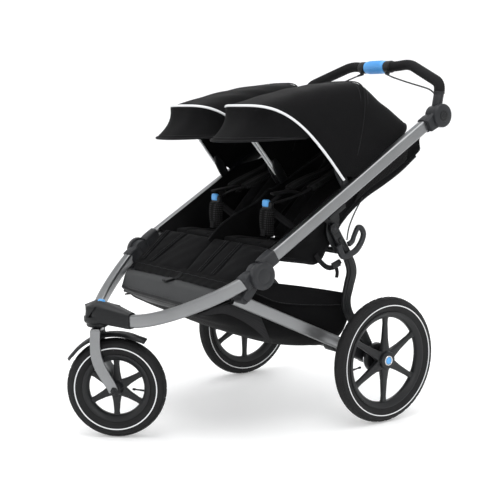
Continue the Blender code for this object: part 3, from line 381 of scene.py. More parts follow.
def make_finishes(settings):
    """Every finish of the stroller, named for what it really is."""
    # extruded and anodised: a soft metallic grey with a satin glow along each edge
    FINISH["anodised_aluminium"] = grained("anodised_aluminium", settings.tube_colour, "#8B8C8D",
                                           0.33, 0.0012, 0.00002, 1.0, 0.04)
    # zinc plated and turned: brighter and sharper than the tubes
    FINISH["plated_steel"] = grained("plated_steel", "#B7B8BA", "#C6C7C9", 0.24, 0.001, 0.00001, 1.0)
    # glass-filled nylon from a fine-textured mould: near black, low even gloss
    FINISH["moulded_nylon"] = grained("moulded_nylon", "#0E0F10", "#18191B", 0.46, 0.0011, 0.00006,
                                      Specular_IOR_Level=0.28)
    # hinge shells in a greyer moulding than the rest
    FINISH["charcoal_nylon"] = grained("charcoal_nylon", "#1B1C1E", "#27282B", 0.50, 0.0012, 0.00007,
                                       Specular_IOR_Level=0.30)
    # vulcanised rubber: dry black with a dusty shoulder
    FINISH["tyre_rubber"] = grained("tyre_rubber", "#0D0D0E", "#1A1A1B", 0.68, 0.0016, 0.00010,
                                    Specular_IOR_Level=0.25)
    # injected wheel moulding: smoother and a little glossier than the tyre
    FINISH["wheel_nylon"] = grained("wheel_nylon", "#101112", "#1B1C1E", 0.40, 0.0014, 0.00004,
                                    Specular_IOR_Level=0.30)
    # glass-bead tape on a cloth back: flat light grey
    FINISH["reflective_tape"] = grained("reflective_tape", "#CFD1D2", "#E4E5E6", 0.42, 0.0008, 0.00003)
    # closed-cell foam sleeve: black with open skin
    FINISH["eva_foam"] = grained("eva_foam", "#0E0E0F", "#1B1B1C", 0.88, 0.0018, 0.00018,
                                 Specular_IOR_Level=0.20)
    # soft over-moulded accent, the one colour on the stroller
    FINISH["accent_rubber"] = grained("accent_rubber", settings.accent_colour, "#62AEE8", 0.42,
                                      0.0011, 0.00003)
    # pressed board in the footrest: mid grey with a leathery grain
    FINISH["grained_board"] = grained("grained_board", "#2B2C2D", "#38393A", 0.62, 0.0022, 0.00016,
                                      Specular_IOR_Level=0.30)
    # coated cable jacket
    FINISH["cable_jacket"] = grained("cable_jacket", "#0C0C0D", "#161617", 0.45, 0.0009, 0.00002,
                                     Specular_IOR_Level=0.30)
    # plain-woven polyester; the 0.6 mm yarns are drawn at 3 mm so that they show
    FINISH["woven_polyester"] = woven("woven_polyester", settings.cloth_colour, "#161617", 0.0030,
                                      0.00035)
    # the same cloth over padding, where it has no seams to follow
    FINISH["padded_polyester"] = woven("padded_polyester", "#070708", "#1A1A1C", 0.0034, 0.00035,
                                       coords="Object")
    # open spacer mesh; its 2 mm holes are drawn at 6 mm so that they show
    FINISH["spacer_mesh"] = woven("spacer_mesh", "#0A0A0A", "#2A2A2B", 0.0060, 0.0006, 0.9,
                                  holes=True)
    # ripstop in the basket's front corner, dyed grey
    FINISH["grey_ripstop"] = woven("grey_ripstop", "#232324", "#383839", 0.0045, 0.0003, 0.8)
    # nylon webbing with ribs across the strap, drawn at 3 mm
    FINISH["nylon_webbing"] = woven("nylon_webbing", "#101011", "#2B2B2D", 0.0030, 0.0004, 0.7)
    # bonded thread, one shade off the cloth it holds
    FINISH["sewing_thread"] = grained("sewing_thread", "#2C2C2E", "#3A3A3C", 0.7, 0.0008, 0.00004)


# ---------------------------------------------------------------- making pieces
def mesh_object(name, shapes):
    """One object from several shapes, doubles merged and faces turned outwards."""
    points, faces, uvs = [], [], []
    for shape_points, shape_faces, shape_uvs in shapes:
        base = len(points)
        points += [tuple(p) for p in shape_points]
        uvs += shape_uvs
        faces += [tuple(base + i for i in face) for face in shape_faces]
    mesh = bpy.data.meshes.new(name)
    mesh.from_pydata(points, [], faces)
    layer = mesh.uv_layers.new(name="weave")
    for loop in mesh.loops:
        layer.data[loop.index].uv = uvs[loop.vertex_index]
    bm = bmesh.new()
    bm.from_mesh(mesh)
    bmesh.ops.remove_doubles(bm, verts=bm.verts, dist=0.000002)
    bmesh.ops.dissolve_degenerate(bm, dist=0.000001, edges=bm.edges)
    bmesh.ops.recalc_face_normals(bm, faces=bm.faces)
    bm.to_mesh(mesh)
    bm.free()
    obj = bpy.data.objects.new(name, mesh)
    bpy.context.scene.collection.objects.link(obj)
    return obj


def settle(obj):
    """Apply an object's modifiers and leave one plain mesh."""
    bpy.context.view_layer.update()
    evaluated = obj.evaluated_get(bpy.context.evaluated_depsgraph_get())
    mesh = bpy.data.meshes.new_from_object(evaluated)
    obj.modifiers.clear()
    obj.data = mesh
    mesh.name = obj.name
    return obj


def dress(obj, finish, body, replaces=(), sharp=38.0):
    """Finish, shade and hang a piece on its body."""
    obj.data.materials.clear()
    obj.data.materials.append(FINISH[finish])
    obj.data.polygons.foreach_set("material_index", [0] * len(obj.data.polygons))
    obj.data.shade_smooth()
    obj.data.set_sharp_from_angle(angle=math.radians(sharp))
    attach(obj, body)
    if replaces:
        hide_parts(*replaces)
    return obj


def piece(name, shapes, finish, body, replaces=(), bevel=0.0, rounds=2, smooth=0, wall=0.0,
          offset=-1.0, sharp=38.0):
    """A finished piece from shapes, with an optional wall, edge rounding and smoothing."""
    obj = mesh_object(name, shapes)
    if wall:
        solid = obj.modifiers.new("wall", "SOLIDIFY")
        solid.thickness = wall
        solid.offset = offset
        solid.use_even_offset = True
    if bevel:
        edge = obj.modifiers.new("edge", "BEVEL")
        edge.width = bevel
        edge.segments = rounds
        edge.limit_method = "ANGLE"
        edge.angle_limit = math.radians(40)
    if smooth:
        flow = obj.modifiers.new("flow", "SUBSURF")
        flow.levels = smooth
        flow.render_levels = smooth
    if obj.modifiers:
        settle(obj)
    return dress(obj, finish, body, replaces, sharp)


def lofted(rings):
    """A closed shape through equal rings of points, capped at both ends."""
    around = len(rings[0])
    points = [Vector(p) for one in rings for p in one]
    uvs = [(k / around * 0.1, i * 0.01) for i in range(len(rings)) for k in range(around)]
    faces = []
    for i in range(len(rings) - 1):
        for k in range(around):
            n = (k + 1) % around
            faces.append((i * around + k, i * around + n, (i + 1) * around + n,
                          (i + 1) * around + k))
    faces += [tuple(range(around))[::-1],
              tuple(range((len(rings) - 1) * around, len(rings) * around))]
    return points, faces, uvs


def bar(path, widths, x, thickness, radius=0.003, steps=6, place=None):
    """A flat bar of changing width along a (y, z) line, in a plane of constant x."""
    line = curve_through([(0, *p) for p in path], steps)
    if len(widths) == 1:
        widths = list(widths) * len(path)
    width_line = [p.x for p in curve_through([(w, 0, 0) for w in widths], steps)]
    rings = []
    for i, centre in enumerate(line):
        run = (line[min(i + 1, len(line) - 1)] - line[max(i - 1, 0)]).normalized()
        side = Vector((0, -run.z, run.y))
        section = rounded_box(thickness, width_line[i], radius, 3)
        rings.append([centre + Vector((x + u, 0, 0)) + side * v for u, v in section])
    return moved(lofted(rings), Matrix.Translation((0, AXLE_Y, 0)) if place is None else place)


# --------------------------------------------------------------- node trees
def tree_with(name, sockets):
    """A geometry tree with a geometry input, named inputs and a geometry output."""
    tree = bpy.data.node_groups.new(name, "GeometryNodeTree")
    tree.interface.new_socket("Piece", in_out="INPUT", socket_type="NodeSocketGeometry")
    keys = {}
    for label, kind in sockets:
        keys[label] = tree.interface.new_socket(label, in_out="INPUT", socket_type=kind).identifier
    tree.interface.new_socket("Result", in_out="OUTPUT", socket_type="NodeSocketGeometry")
    return tree, keys, add(tree, "NodeGroupInput").outputs


def end_tree(tree, instances, finish):
    real = add(tree, "GeometryNodeRealizeInstances", {"Geometry": instances})
    painted = add(tree, "GeometryNodeSetMaterial", {"Geometry": real.outputs[0],
                                                    "Material": finish})
    add(tree, "NodeGroupOutput", {0: painted.outputs[0]})


def ring_tree():
    """Copies of a piece turned evenly round the X axis."""
    tree, keys, given = tree_with("copies_round_axle", [
        ("Count", "NodeSocketInt"), ("Start", "NodeSocketFloat"), ("Finish", "NodeSocketMaterial")])
    points = add(tree, "GeometryNodePoints", {"Count": given["Count"]})
    index = add(tree, "GeometryNodeInputIndex")
    share = add(tree, "ShaderNodeMath", {0: index.outputs[0], 1: given["Count"]},
                operation="DIVIDE")
    turn = add(tree, "ShaderNodeMath", {0: share.outputs[0], 1: 2 * math.pi, 2: given["Start"]},
               operation="MULTIPLY_ADD")
    angle = add(tree, "ShaderNodeCombineXYZ", {"X": turn.outputs[0]})
    copies = add(tree, "GeometryNodeInstanceOnPoints", {
        "Points": points.outputs[0], "Instance": given["Piece"], "Rotation": angle.outputs[0]})
    end_tree(tree, copies.outputs[0], given["Finish"])
    return tree, keys


def stitch_tree():
    """Short thread stitches laid end to end along a line."""
    tree, keys, given = tree_with("stitches_on_line", [
        ("Spacing", "NodeSocketFloat"), ("Stitch", "NodeSocketVector"),
        ("Finish", "NodeSocketMaterial")])
    curve = add(tree, "GeometryNodeMeshToCurve", {"Mesh": given["Piece"]})
    even = add(tree, "GeometryNodeResampleCurve", {"Curve": curve.outputs[0],
                                                   "Length": given["Spacing"]}, mode="LENGTH")
    thread = add(tree, "GeometryNodeMeshCube", {"Size": given["Stitch"]})
    along = add(tree, "GeometryNodeInputTangent")
    heading = add(tree, "FunctionNodeAlignRotationToVector", {"Vector": along.outputs[0]}, axis="X")
    stitches = add(tree, "GeometryNodeInstanceOnPoints", {
        "Points": even.outputs[0], "Instance": thread.outputs[0],
        "Rotation": heading.outputs[0]})
    end_tree(tree, stitches.outputs[0], given["Finish"])
    return tree, keys


TREES = {}


def run_tree(obj, which, inputs, finish):
    """Run one of the trees on an object and keep the plain mesh that it makes."""
    if which not in TREES:
        TREES[which] = {"ring": ring_tree, "stitch": stitch_tree}[which]()
    tree, keys = TREES[which]
    nodes = obj.modifiers.new(which, "NODES")
    nodes.node_group = tree
    for label, value in inputs.items():
        nodes[keys[label]] = value
    nodes[keys["Finish"]] = FINISH[finish]
    return settle(obj)


def copies_round(name, shapes, count, finish, body, place, start=0.0, bevel=0.0, replaces=()):
    """Copies of a shape round a wheel's or a grip's own axis, then put in place."""
    obj = mesh_object(name, shapes)
    if bevel:
        edge = obj.modifiers.new("edge", "BEVEL")
        edge.width = bevel
        edge.segments = 2
        edge.angle_limit = math.radians(40)
        settle(obj)
    run_tree(obj, "ring", {"Count": count, "Start": start}, finish)
    obj.data.transform(place)
    if place.determinant() < 0:
        obj.data.flip_normals()
    return dress(obj, finish, body, replaces)


def stitching(name, lines, body, spacing=0.0042, stitch=(0.0026, 0.0007, 0.0007)):
    """Stitches along lines of points that lie on a cloth's face."""
    mesh = bpy.data.meshes.new(name)
    points, edges = [], []
    for line in lines:
        base = len(points)
        points += [tuple(p) for p in line]
        edges += [(base + i, base + i + 1) for i in range(len(line) - 1)]
    mesh.from_pydata(points, edges, [])
    obj = bpy.data.objects.new(name, mesh)
    bpy.context.scene.collection.objects.link(obj)
    run_tree(obj, "stitch", {"Spacing": spacing, "Stitch": stitch}, "sewing_thread")
    return dress(obj, "sewing_thread", body)


# ------------------------------------------------------------------- wheels
# how far each tread is turned, so that no two tyres show the same block on top
TREAD_START = {"front": 0.02, "rear_left": 0.05, "rear_right": 0.11}


def tyre_profile(radius, width, bead):
    """Half-inflated look: round shoulders, a sidewall line and a seat on the rim."""
    half = width / 2
    core = radius - half
    profile = []
    for i in range(41):
        turn = math.radians(-30 + 240 * i / 40)
        crown = half - (0.0011 if 35 < math.degrees(turn) < 145 else 0.0)
        ridge = 0.0006 if abs(abs(turn - math.pi / 2) - math.radians(104)) < 0.03 else 0.0
        profile.append(((crown + ridge) * math.cos(turn), core + crown * math.sin(turn)))
    return profile + [(-0.0140, bead + 0.0012), (-0.0130, bead - 0.002), (0.0130, bead - 0.002),
                      (0.0140, bead + 0.0012)]


def tread_block(radius, width, first, last, span, lean):
    """One block of the tread, bent to the tyre's crown."""
    half = width / 2
    core = radius - half
    rings = []
    for i in range(4):
        across = [first + (last - first) * j / 3 for j in range(4)]
        ring_points = []
        for height, order in ((half, across), (half - 0.003, across[::-1])):
            for turn in order:
                a = math.radians(turn)
                phi = span * (i / 3 - 0.5) + lean * (turn - first) / (last - first)
                r = core + height * math.sin(a)
                ring_points.append((height * math.cos(a), -r * math.sin(phi), r * math.cos(phi)))
        rings.append(ring_points)
    return lofted(rings)


def spoke(inner, outer):
    """A cast spoke: wide where it leaves the hub, waisted, then flared into the rim."""
    rings = []
    stations = ((0.0, 0.036, 0.022), (0.14, 0.0285, 0.019), (0.40, 0.0215, 0.0150),
                (0.80, 0.0170, 0.0125), (0.94, 0.0190, 0.0130), (1.0, 0.027, 0.015))
    for share, width, thick in stations:
        z = inner + (outer - inner) * share
        rings.append([(u, v, z) for u, v in rounded_box(thick, width, 0.0042, 3)])
    return lofted(rings)


def rim_profile(bead, depth=0.0175):
    """A box-section rim with a lip that the tyre sits behind."""
    half = [(0.0152, bead + 0.0010), (0.0172, bead + 0.0018), (0.0180, bead - 0.0008),
            (0.0168, bead - 0.0040), (0.0140, bead - 0.0085), (0.0100, bead - 0.0140),
            (0.0050, bead - depth)]
    return half + [(-x, r) for x, r in half[::-1]]


def valve(bead, turn):
    """A valve stem that points at the hub."""
    stem = [(-0.001, 0.0), (-0.001, 0.0030), (0.016, 0.0030), (0.017, 0.0024), (0.030, 0.0024),
            (0.031, 0.0036), (0.038, 0.0036), (0.0395, 0.0025), (0.0395, 0.0)]
    flip = Matrix.Rotation(turn, 4, "X") @ Matrix.Translation((0, bead - 0.014, 0))
    return moved(turned(stem, 14, False), flip @ Matrix.Rotation(math.pi, 4, "Z")
                 @ Matrix.Rotation(math.pi / 2, 4, "Z"))


def wheel(tag, body, place, radius, width, bead, blocks, hub, valve_turn, tyre, rim):
    """Tyre, tread, white ring, rim, spokes, hub and valve of one wheel."""
    piece("tyre_" + tag, [moved(turned(tyre_profile(radius, width, bead), 128), place)],
          "tyre_rubber", body, (tyre,), sharp=60)
    span = 2 * math.pi / blocks
    treads = [tread_block(radius, width, 44, 84, span * 0.80, span * 0.45),
              tread_block(radius, width, 136, 96, span * 0.80, span * 0.45)]
    copies_round("tread_" + tag, treads, blocks, "tyre_rubber", body, place, TREAD_START[tag])
    half, core = width / 2, radius - width / 2
    band = []
    for lift in (0.0007, -0.0006):
        turns = [-9.5 + 7.5 * i / 4 for i in range(5)]
        band += [((half + lift) * math.cos(math.radians(t)), core + half * math.sin(math.radians(t)))
                 for t in (turns if lift > 0 else turns[::-1])]
    bands = [turned([(s * x, r) for x, r in band], 128) for s in (1, -1)]
    piece("white_ring_" + tag, [moved(b, place) for b in bands], "reflective_tape", body)
    piece("rim_" + tag, [moved(turned(rim_profile(bead), 128), place),
                         moved(turned(hub, 64, False), place)], "wheel_nylon", body, (rim,))
    copies_round("spokes_" + tag, [spoke(max(r for x, r in hub) * 0.72, bead - 0.0135)], 6,
                 "wheel_nylon", body, place, bevel=0.0)
    piece("valve_" + tag, [moved(valve(bead, valve_turn), place)], "moulded_nylon", body)


def hub_cover(place):
    """The bright ring and the push button at a rear wheel's middle."""
    ring_profile = [(0.0155, 0.0160), (0.0155, 0.0116), (0.0216, 0.0116), (0.0226, 0.0126),
                    (0.0228, 0.0150), (0.0212, 0.0162)]
    button = [(0.0162, 0.0), (0.0162, 0.0109), (0.0214, 0.0109), (0.0222, 0.0100), (0.0224, 0.0070),
              (0.0220, 0.0)]
    return (moved(turned(ring_profile, 48), place), moved(turned(button, 48, False), place))


REAR_HUB = [(-0.0195, 0.0), (-0.0195, 0.0230), (-0.0160, 0.0270), (0.0040, 0.0290),
            (0.0165, 0.0285), (0.0195, 0.0270), (0.0205, 0.0245), (0.0205, 0.0164),
            (0.0115, 0.0162), (0.0115, 0.0)]
FRONT_HUB = [(-0.0315, 0.0), (-0.0315, 0.0150), (-0.0280, 0.0180), (-0.0140, 0.0225),
             (0.0140, 0.0225), (0.0280, 0.0180), (0.0315, 0.0150), (0.0315, 0.0)]
CASTER = Matrix.Translation((0, SWIVEL_Y + AXLE_Y, 0)) @ Matrix.Rotation(-STEER, 4, "Z")


def make_wheels():
    for side, name in SIDES:
        place = (Matrix.Translation((side * REAR_X, AXLE_Y, REAR_RADIUS))
                 @ Matrix.Scale(side, 4, (1, 0, 0)))
        body = "rear_wheel_" + name
        wheel("rear_" + name, body, place, REAR_RADIUS, 0.045, 0.1525, 40, REAR_HUB,
              math.radians(187), "rear_tyre_" + name, "rear_rim_" + name)
        bright, button = hub_cover(place)
        piece("hub_ring_" + name, [bright], "plated_steel", body)
        piece("hub_press_" + name, [button], "accent_rubber", "hub_release_" + name,
              ("hub_button_" + name,))
    place = CASTER @ Matrix.Translation((0, TRAIL, FRONT_RADIUS))
    wheel("front", "front_wheel", place, FRONT_RADIUS, 0.050, 0.1015, 32, FRONT_HUB,
          math.radians(-6), "front_tyre", "front_rim")


# -------------------------------------------------------------- front caster
def make_caster():
    crown_top = 2 * FRONT_RADIUS + 0.033
    line = [(0.001, crown_top - 0.004), (0.000, FRONT_RADIUS + 0.140), (0.003, FRONT_RADIUS + 0.104),
            (0.014, FRONT_RADIUS + 0.070), (0.031, FRONT_RADIUS + 0.040),
            (0.047, FRONT_RADIUS + 0.014), (0.0545, FRONT_RADIUS - 0.004)]
    widths = (0.031, 0.031, 0.033, 0.034, 0.033, 0.031, 0.029)
    blades = [bar(line, widths, side * 0.0402, 0.0115, 0.0035, 7, CASTER) for side, _ in SIDES]
    crown = moved(hull([Vector((x, y, z)) for x in (-0.046, 0.046) for y in (-0.013, 0.015)
                        for z in (crown_top - 0.015, crown_top)]), CASTER)
    piece("fork", blades + [crown], "anodised_aluminium", "caster", ("caster_fork",), bevel=0.0025,
          rounds=3)
    middle_of_wheel = CASTER @ Matrix.Translation((0, TRAIL, FRONT_RADIUS))
    nuts = [(0.0460, 0.0), (0.0460, 0.0118), (0.0500, 0.0118), (0.0515, 0.0100), (0.0515, 0.0062),
            (0.0545, 0.0055), (0.0552, 0.0035), (0.0552, 0.0)]
    bolt = [(-0.0455, 0.0), (-0.0455, 0.0058), (0.0455, 0.0058), (0.0455, 0.0)]
    ends = [turned(nuts, 6, False), turned([(-x, r) for x, r in nuts], 6, False)]
    piece("front_axle_bolt", [moved(s, middle_of_wheel) for s in ends + [turned(bolt, 24, False)]],
          "moulded_nylon", "caster", ("front_axle",), bevel=0.0006)
    stem = [(0.0, 0.0), (0.0, 0.0108), (0.056, 0.0108), (0.056, 0.0)]
    upright = (CASTER @ Matrix.Translation((0, 0, crown_top - 0.0075))
               @ Matrix.Rotation(-math.pi / 2, 4, "Y"))
    piece("swivel_stem", [moved(turned(stem, 32, False), upright)], "plated_steel", "caster",
          ("caster_stem",))
    rows = []
    for i in range(41):
        share = i / 40
        turn = math.radians(149 - 91 * share)
        half = 0.031 * (1 - 0.10 * abs(2 * share - 1) ** 3)
        flick = 0.010 * max(0.0, share - 0.90) * 10 * share + 0.004 * max(0.0, 0.08 - share) * 12
        row = []
        for j in range(17):
            across = 2 * j / 16 - 1
            reach = FRONT_RADIUS + 0.0185 - 0.009 * abs(across) ** 4 + flick * 0.4
            row.append(middle_of_wheel @ Vector((half * across, reach * math.cos(turn),
                                                 reach * math.sin(turn))))
        rows.append(row)
    piece("mudguard_shell", [grid(rows)], "moulded_nylon", "caster", ("mudguard",), wall=0.0026,
          offset=-1.0, bevel=0.0007)
    stay = bar([(0.006, crown_top - 0.030), (0.012, crown_top - 0.012)], (0.024,), 0, 0.030, 0.004, 3,
               CASTER)
    piece("mudguard_stay", [stay], "moulded_nylon", "caster")


# ------------------------------------------------------------ head and frame
def lower_line(start, end, steps, side=1):
    """The swept middle line of a lower tube."""
    a = at(TUBE_X, *LOWER_START)
    b = a - Vector((0, math.cos(math.radians(35)), math.sin(math.radians(35)))) * 0.050
    c = at(0.155, -0.782, 0.325)
    d = at(0.045, -0.774, 0.374)
    line = []
    for i in range(steps + 1):
        t = start + (end - start) * i / steps
        p = a * (1 - t) ** 3 + b * 3 * t * (1 - t) ** 2 + c * 3 * t * t * (1 - t) + d * t ** 3
        line.append(Vector((side * p.x, p.y, p.z)))
    return line


TUBE = rounded_box(0.030, 0.038, 0.0085, 6)
SLEEVE = rounded_box(0.0375, 0.0460, 0.0100, 6)


def make_frame():
    for side, name in SIDES:
        piece("front_tube_" + name, [swept(lower_line(0, 0.93, 60, side), TUBE)],
              "anodised_aluminium", "lower_frame", ("lower_tube_" + name,), sharp=50)
        ends = [along_upper(UPPER_START + (UPPER_END - UPPER_START) * i / 12, 0, side * TUBE_X)
                for i in range(13)]
        piece("side_tube_" + name, [swept(ends, TUBE)], "anodised_aluminium", "upper_frame",
              ("upper_tube_" + name,), sharp=50)
        make_fold_joint(side, name)
        make_handle_joint(side, name)
    head = HEAD_TOP
    shell = [at(x, SWIVEL_Y + y, z) for x, y, z in (
        (0.030, -0.024, head - 0.006), (-0.030, -0.024, head - 0.006), (0.0, -0.037, head - 0.008),
        (0.014, 0.006, head + 0.007), (-0.014, 0.006, head + 0.007),
        (0.036, 0.000, head - 0.008), (-0.036, 0.000, head - 0.008),
        (0.058, 0.052, head - 0.013), (-0.058, 0.052, head - 0.013),
        (0.030, 0.060, head - 0.010), (-0.030, 0.060, head - 0.010),
        (0.036, 0.0, head - 0.050), (-0.036, 0.0, head - 0.050), (0.0, -0.038, head - 0.050),
        (0.028, -0.027, head - 0.050), (-0.028, -0.027, head - 0.050),
        (0.060, 0.052, head - 0.054), (-0.060, 0.052, head - 0.054),
        (0.030, 0.062, head - 0.052), (-0.030, 0.062, head - 0.052))]
    socket = rounded_box(0.0395, 0.0475, 0.012, 5)
    sockets = []
    for side, _ in SIDES:
        sockets.append(swept(lower_line(0.835, 0.985, 14, side), socket))
        sockets.append(hull(swept(lower_line(0.845, 0.850, 1, side), socket)[0]
                            + [p for p in shell if p.x * side > -0.016]))
    collar = [(0.338, 0.0), (0.338, 0.0300), (0.3420, 0.0325), (0.3500, 0.0330), (0.3520, 0.0385),
              (0.3590, 0.0400), (0.3700, 0.0400), (0.3700, 0.0)]
    upright = Matrix.Translation(at(0, SWIVEL_Y, 0)) @ Matrix.Rotation(-math.pi / 2, 4, "Y")
    piece("head_shell", [hull(shell), moved(turned(collar, 64, False), upright)] + sockets,
          "moulded_nylon", "lower_frame", ("head_housing",), bevel=0.004, rounds=3)
    knob = [(0.4035, 0.0), (0.4035, 0.0120), (0.4140, 0.0120), (0.4175, 0.0095), (0.4185, 0.0050),
            (0.4185, 0.0)]
    turn_point = (Matrix.Translation(at(0.004, SWIVEL_Y + 0.012, 0))
                  @ Matrix.Rotation(-math.pi / 2, 4, "Y"))
    ridge = hull([at(0.004 + x, SWIVEL_Y + 0.012 + y, z) for x in (-0.0105, 0.0105)
                  for y in (-0.0032, 0.0032) for z in (0.412, 0.4192)])
    piece("swivel_knob", [moved(turned(knob, 40, False), turn_point), ridge], "accent_rubber",
          "swivel_lock", ("swivel_lock_knob",), bevel=0.0010)
    bar_line = [at(x, *LEG_PIVOT) for x in (-0.309, 0.309)]
    piece("hinge_bar", [swept(bar_line, ring(0.006, 20), True)], "plated_steel", "lower_frame",
          ("leg_pivot_bar",))


def make_fold_joint(side, name):
    """Both halves of the fold hinge on one side, with the bracket down to the leg."""
    face = side * (TUBE_X + 0.0153)
    shell = [disc(face, face + side * 0.0200, 0.0405, *FOLD_PIVOT, 0.0045, 0.0012, 72)]
    shell.append(swept([along_upper(d, 0, side * TUBE_X) for d in (0.022, 0.036, 0.050, 0.0765)],
                       SLEEVE, sizes=[(0.97, 0.86), (1, 0.96), (1, 1), (1, 1)]))
    piece("fold_shell_" + name, shell, "charcoal_nylon", "upper_frame", ("fold_hub_" + name,),
          bevel=0.0016)
    start, heading = lower_line(0, 0.02, 1, side)
    run = (start - heading).normalized()
    stub = [start - run * 0.022, start - run * 0.004, start + run * 0.010, start + run * 0.026]
    low = side * (TUBE_X - 0.014)
    parts = [swept(stub, SLEEVE, sizes=[(1, 1), (1, 1), (0.98, 0.95), (0.9, 0.74)]),
             disc(low, side * (TUBE_X + 0.0148), 0.0345, *FOLD_PIVOT, 0.002)]
    neck = bar([FOLD_PIVOT, (-0.497, 0.463), LEG_PIVOT], (0.040, 0.034, 0.027),
               side * (TUBE_X - 0.0015), 0.0235, 0.004, 4)
    lug = disc(side * (TUBE_X - 0.036), side * (TUBE_X + 0.004), 0.0138, *LEG_PIVOT, 0.0015)
    piece("fold_socket_" + name + "_shell", parts + [neck, lug], "charcoal_nylon", "lower_frame",
          ("fold_socket_" + name,), bevel=0.0015)


def make_handle_joint(side, name):
    """The hinge that the handlebar turns in, at the top of a side tube."""
    inner = side * (TUBE_X + 0.0177)
    outer = side * (TUBE_X + 0.0375)
    shell = [disc(inner, outer, 0.0375, *HANDLE_PIVOT, 0.0050, 0.0, 72),
             swept([along_upper(d, 0, side * TUBE_X) for d in (0.780, 0.806, 0.820, 0.836)], SLEEVE,
                   sizes=[(1, 1), (1, 1), (0.95, 0.9), (0.80, 0.62)])]
    web = bar([(0.190, 0.926), (0.213, 0.942), HANDLE_PIVOT], (0.040, 0.050, 0.060),
              side * (TUBE_X + 0.021), 0.0135, 0.004, 4)
    piece("handle_shell_" + name, shell + [web], "charcoal_nylon", "upper_frame",
          ("handle_hub_" + name,), bevel=0.0018)
    cap = disc(side * (TUBE_X + 0.0345), side * (TUBE_X + 0.0390), 0.0180, *HANDLE_PIVOT, 0.0018,
               0.0006)
    piece("handle_press_" + name, [cap], "moulded_nylon", "handle_release_" + name,
          ("handle_button_" + name,))


# ------------------------------------------------------------- rear chassis
def leg_at(distance, height=0.0, x=0.0):
    foot = Vector((0.0, REAR_RADIUS))
    run = (foot - Vector(LEG_PIVOT)).normalized()
    p = Vector(LEG_PIVOT) + run * distance + Vector((-run.y, run.x)) * height
    return at(x + (0.050 * distance / 0.5667 if x >= 0 else -0.050 * distance / 0.5667), p.x, p.y)


def make_chassis():
    leg = rounded_box(0.020, 0.038, 0.0065, 5)
    for side, name in SIDES:
        line = [leg_at(0.028 + 0.473 * i / 12, 0, side * LEG_X) for i in range(13)]
        piece("leg_tube_" + name, [swept(line, leg), disc(side * 0.227, side * 0.243, 0.0138,
                                                          *LEG_PIVOT, 0.0015)],
              "anodised_aluminium", "rear_chassis", ("rear_leg_" + name,), sharp=45)
        drum = [(-0.018, 0.0), (-0.018, 0.0440), (-0.015, 0.0470), (-0.002, 0.0470), (0.0, 0.0455),
                (0.0, 0.0300), (-0.0022, 0.0290), (-0.0022, 0.0)]
        place = (Matrix.Translation((side * 0.3445, AXLE_Y, REAR_RADIUS))
                 @ Matrix.Scale(side, 4, (1, 0, 0)))
        axle = [(-0.004, 0.0), (-0.004, 0.0058), (0.030, 0.0058), (0.032, 0.0048), (0.032, 0.0)]
        arm = bar([(-0.066, 0.2302), (-0.034, 0.216), (0.0, 0.2)], (0.048, 0.052, 0.050),
                  side * 0.2925, 0.043, 0.008, 4)
        knob = disc(side * 0.270, side * 0.3145, 0.027, 0, REAR_RADIUS, 0.004)
        ear = bar([(0.0, 0.2), (-0.024, 0.244), STRUT_FOOT], (0.042, 0.036, 0.027), side * 0.313,
                  0.017, 0.004, 4)
        elastomer = [disc(side * (0.2985 - 0.001 * i), side * (0.2865 + 0.001 * i), 0.014, -0.030,
                          0.2250 + 0.0068 * i, 0.0012) for i in range(4)]
        turned_parts = [moved(turned(drum, 64, False), place), moved(turned(axle, 24, False), place)]
        piece("axle_block_" + name, turned_parts + [arm, knob, ear] + elastomer, "moulded_nylon",
              "rear_chassis", ("axle_housing_" + name,), bevel=0.0012)
        fin = [(-0.019, 0.0452), (-0.019, 0.0478), (-0.0155, 0.0478), (-0.0155, 0.0452)]
        lever = bar([(0.020, 0.232), (0.034, 0.243), (0.045, 0.239)], (0.013, 0.012, 0.009),
                    side * 0.334, 0.006, 0.002, 4)
        piece("brake_arm_" + name, [moved(turned(fin, 48), place), lever], "plated_steel",
              "rear_chassis")
    piece("axle_tube", [swept([at(x, 0, REAR_RADIUS) for x in (-0.299, 0, 0.299)], ring(0.0125, 28))],
          "anodised_aluminium", "rear_chassis", ("rear_axle",))
    z = REAR_RADIUS
    boss = disc(0.101, 0.149, 0.0193, 0, z, 0.002)
    arm = bar([(0.010, z + 0.001), (0.045, z + 0.004), (0.070, z + 0.004)], (0.020, 0.016, 0.015),
              0.125, 0.032, 0.003, 4)
    tread = bar([(0.055, z + 0.003), (0.089, z + 0.005)], (0.013,), 0.125, 0.078, 0.003, 3)
    ribs = [swept([at(0.090, y, z + 0.0112), at(0.160, y, z + 0.0112)], ring(0.0013, 8))
            for y in (0.062, 0.069, 0.076, 0.083)]
    piece("brake_pedal", [boss, arm, tread] + ribs, "moulded_nylon", "parking_brake",
          ("parking_pedal",), bevel=0.0008)


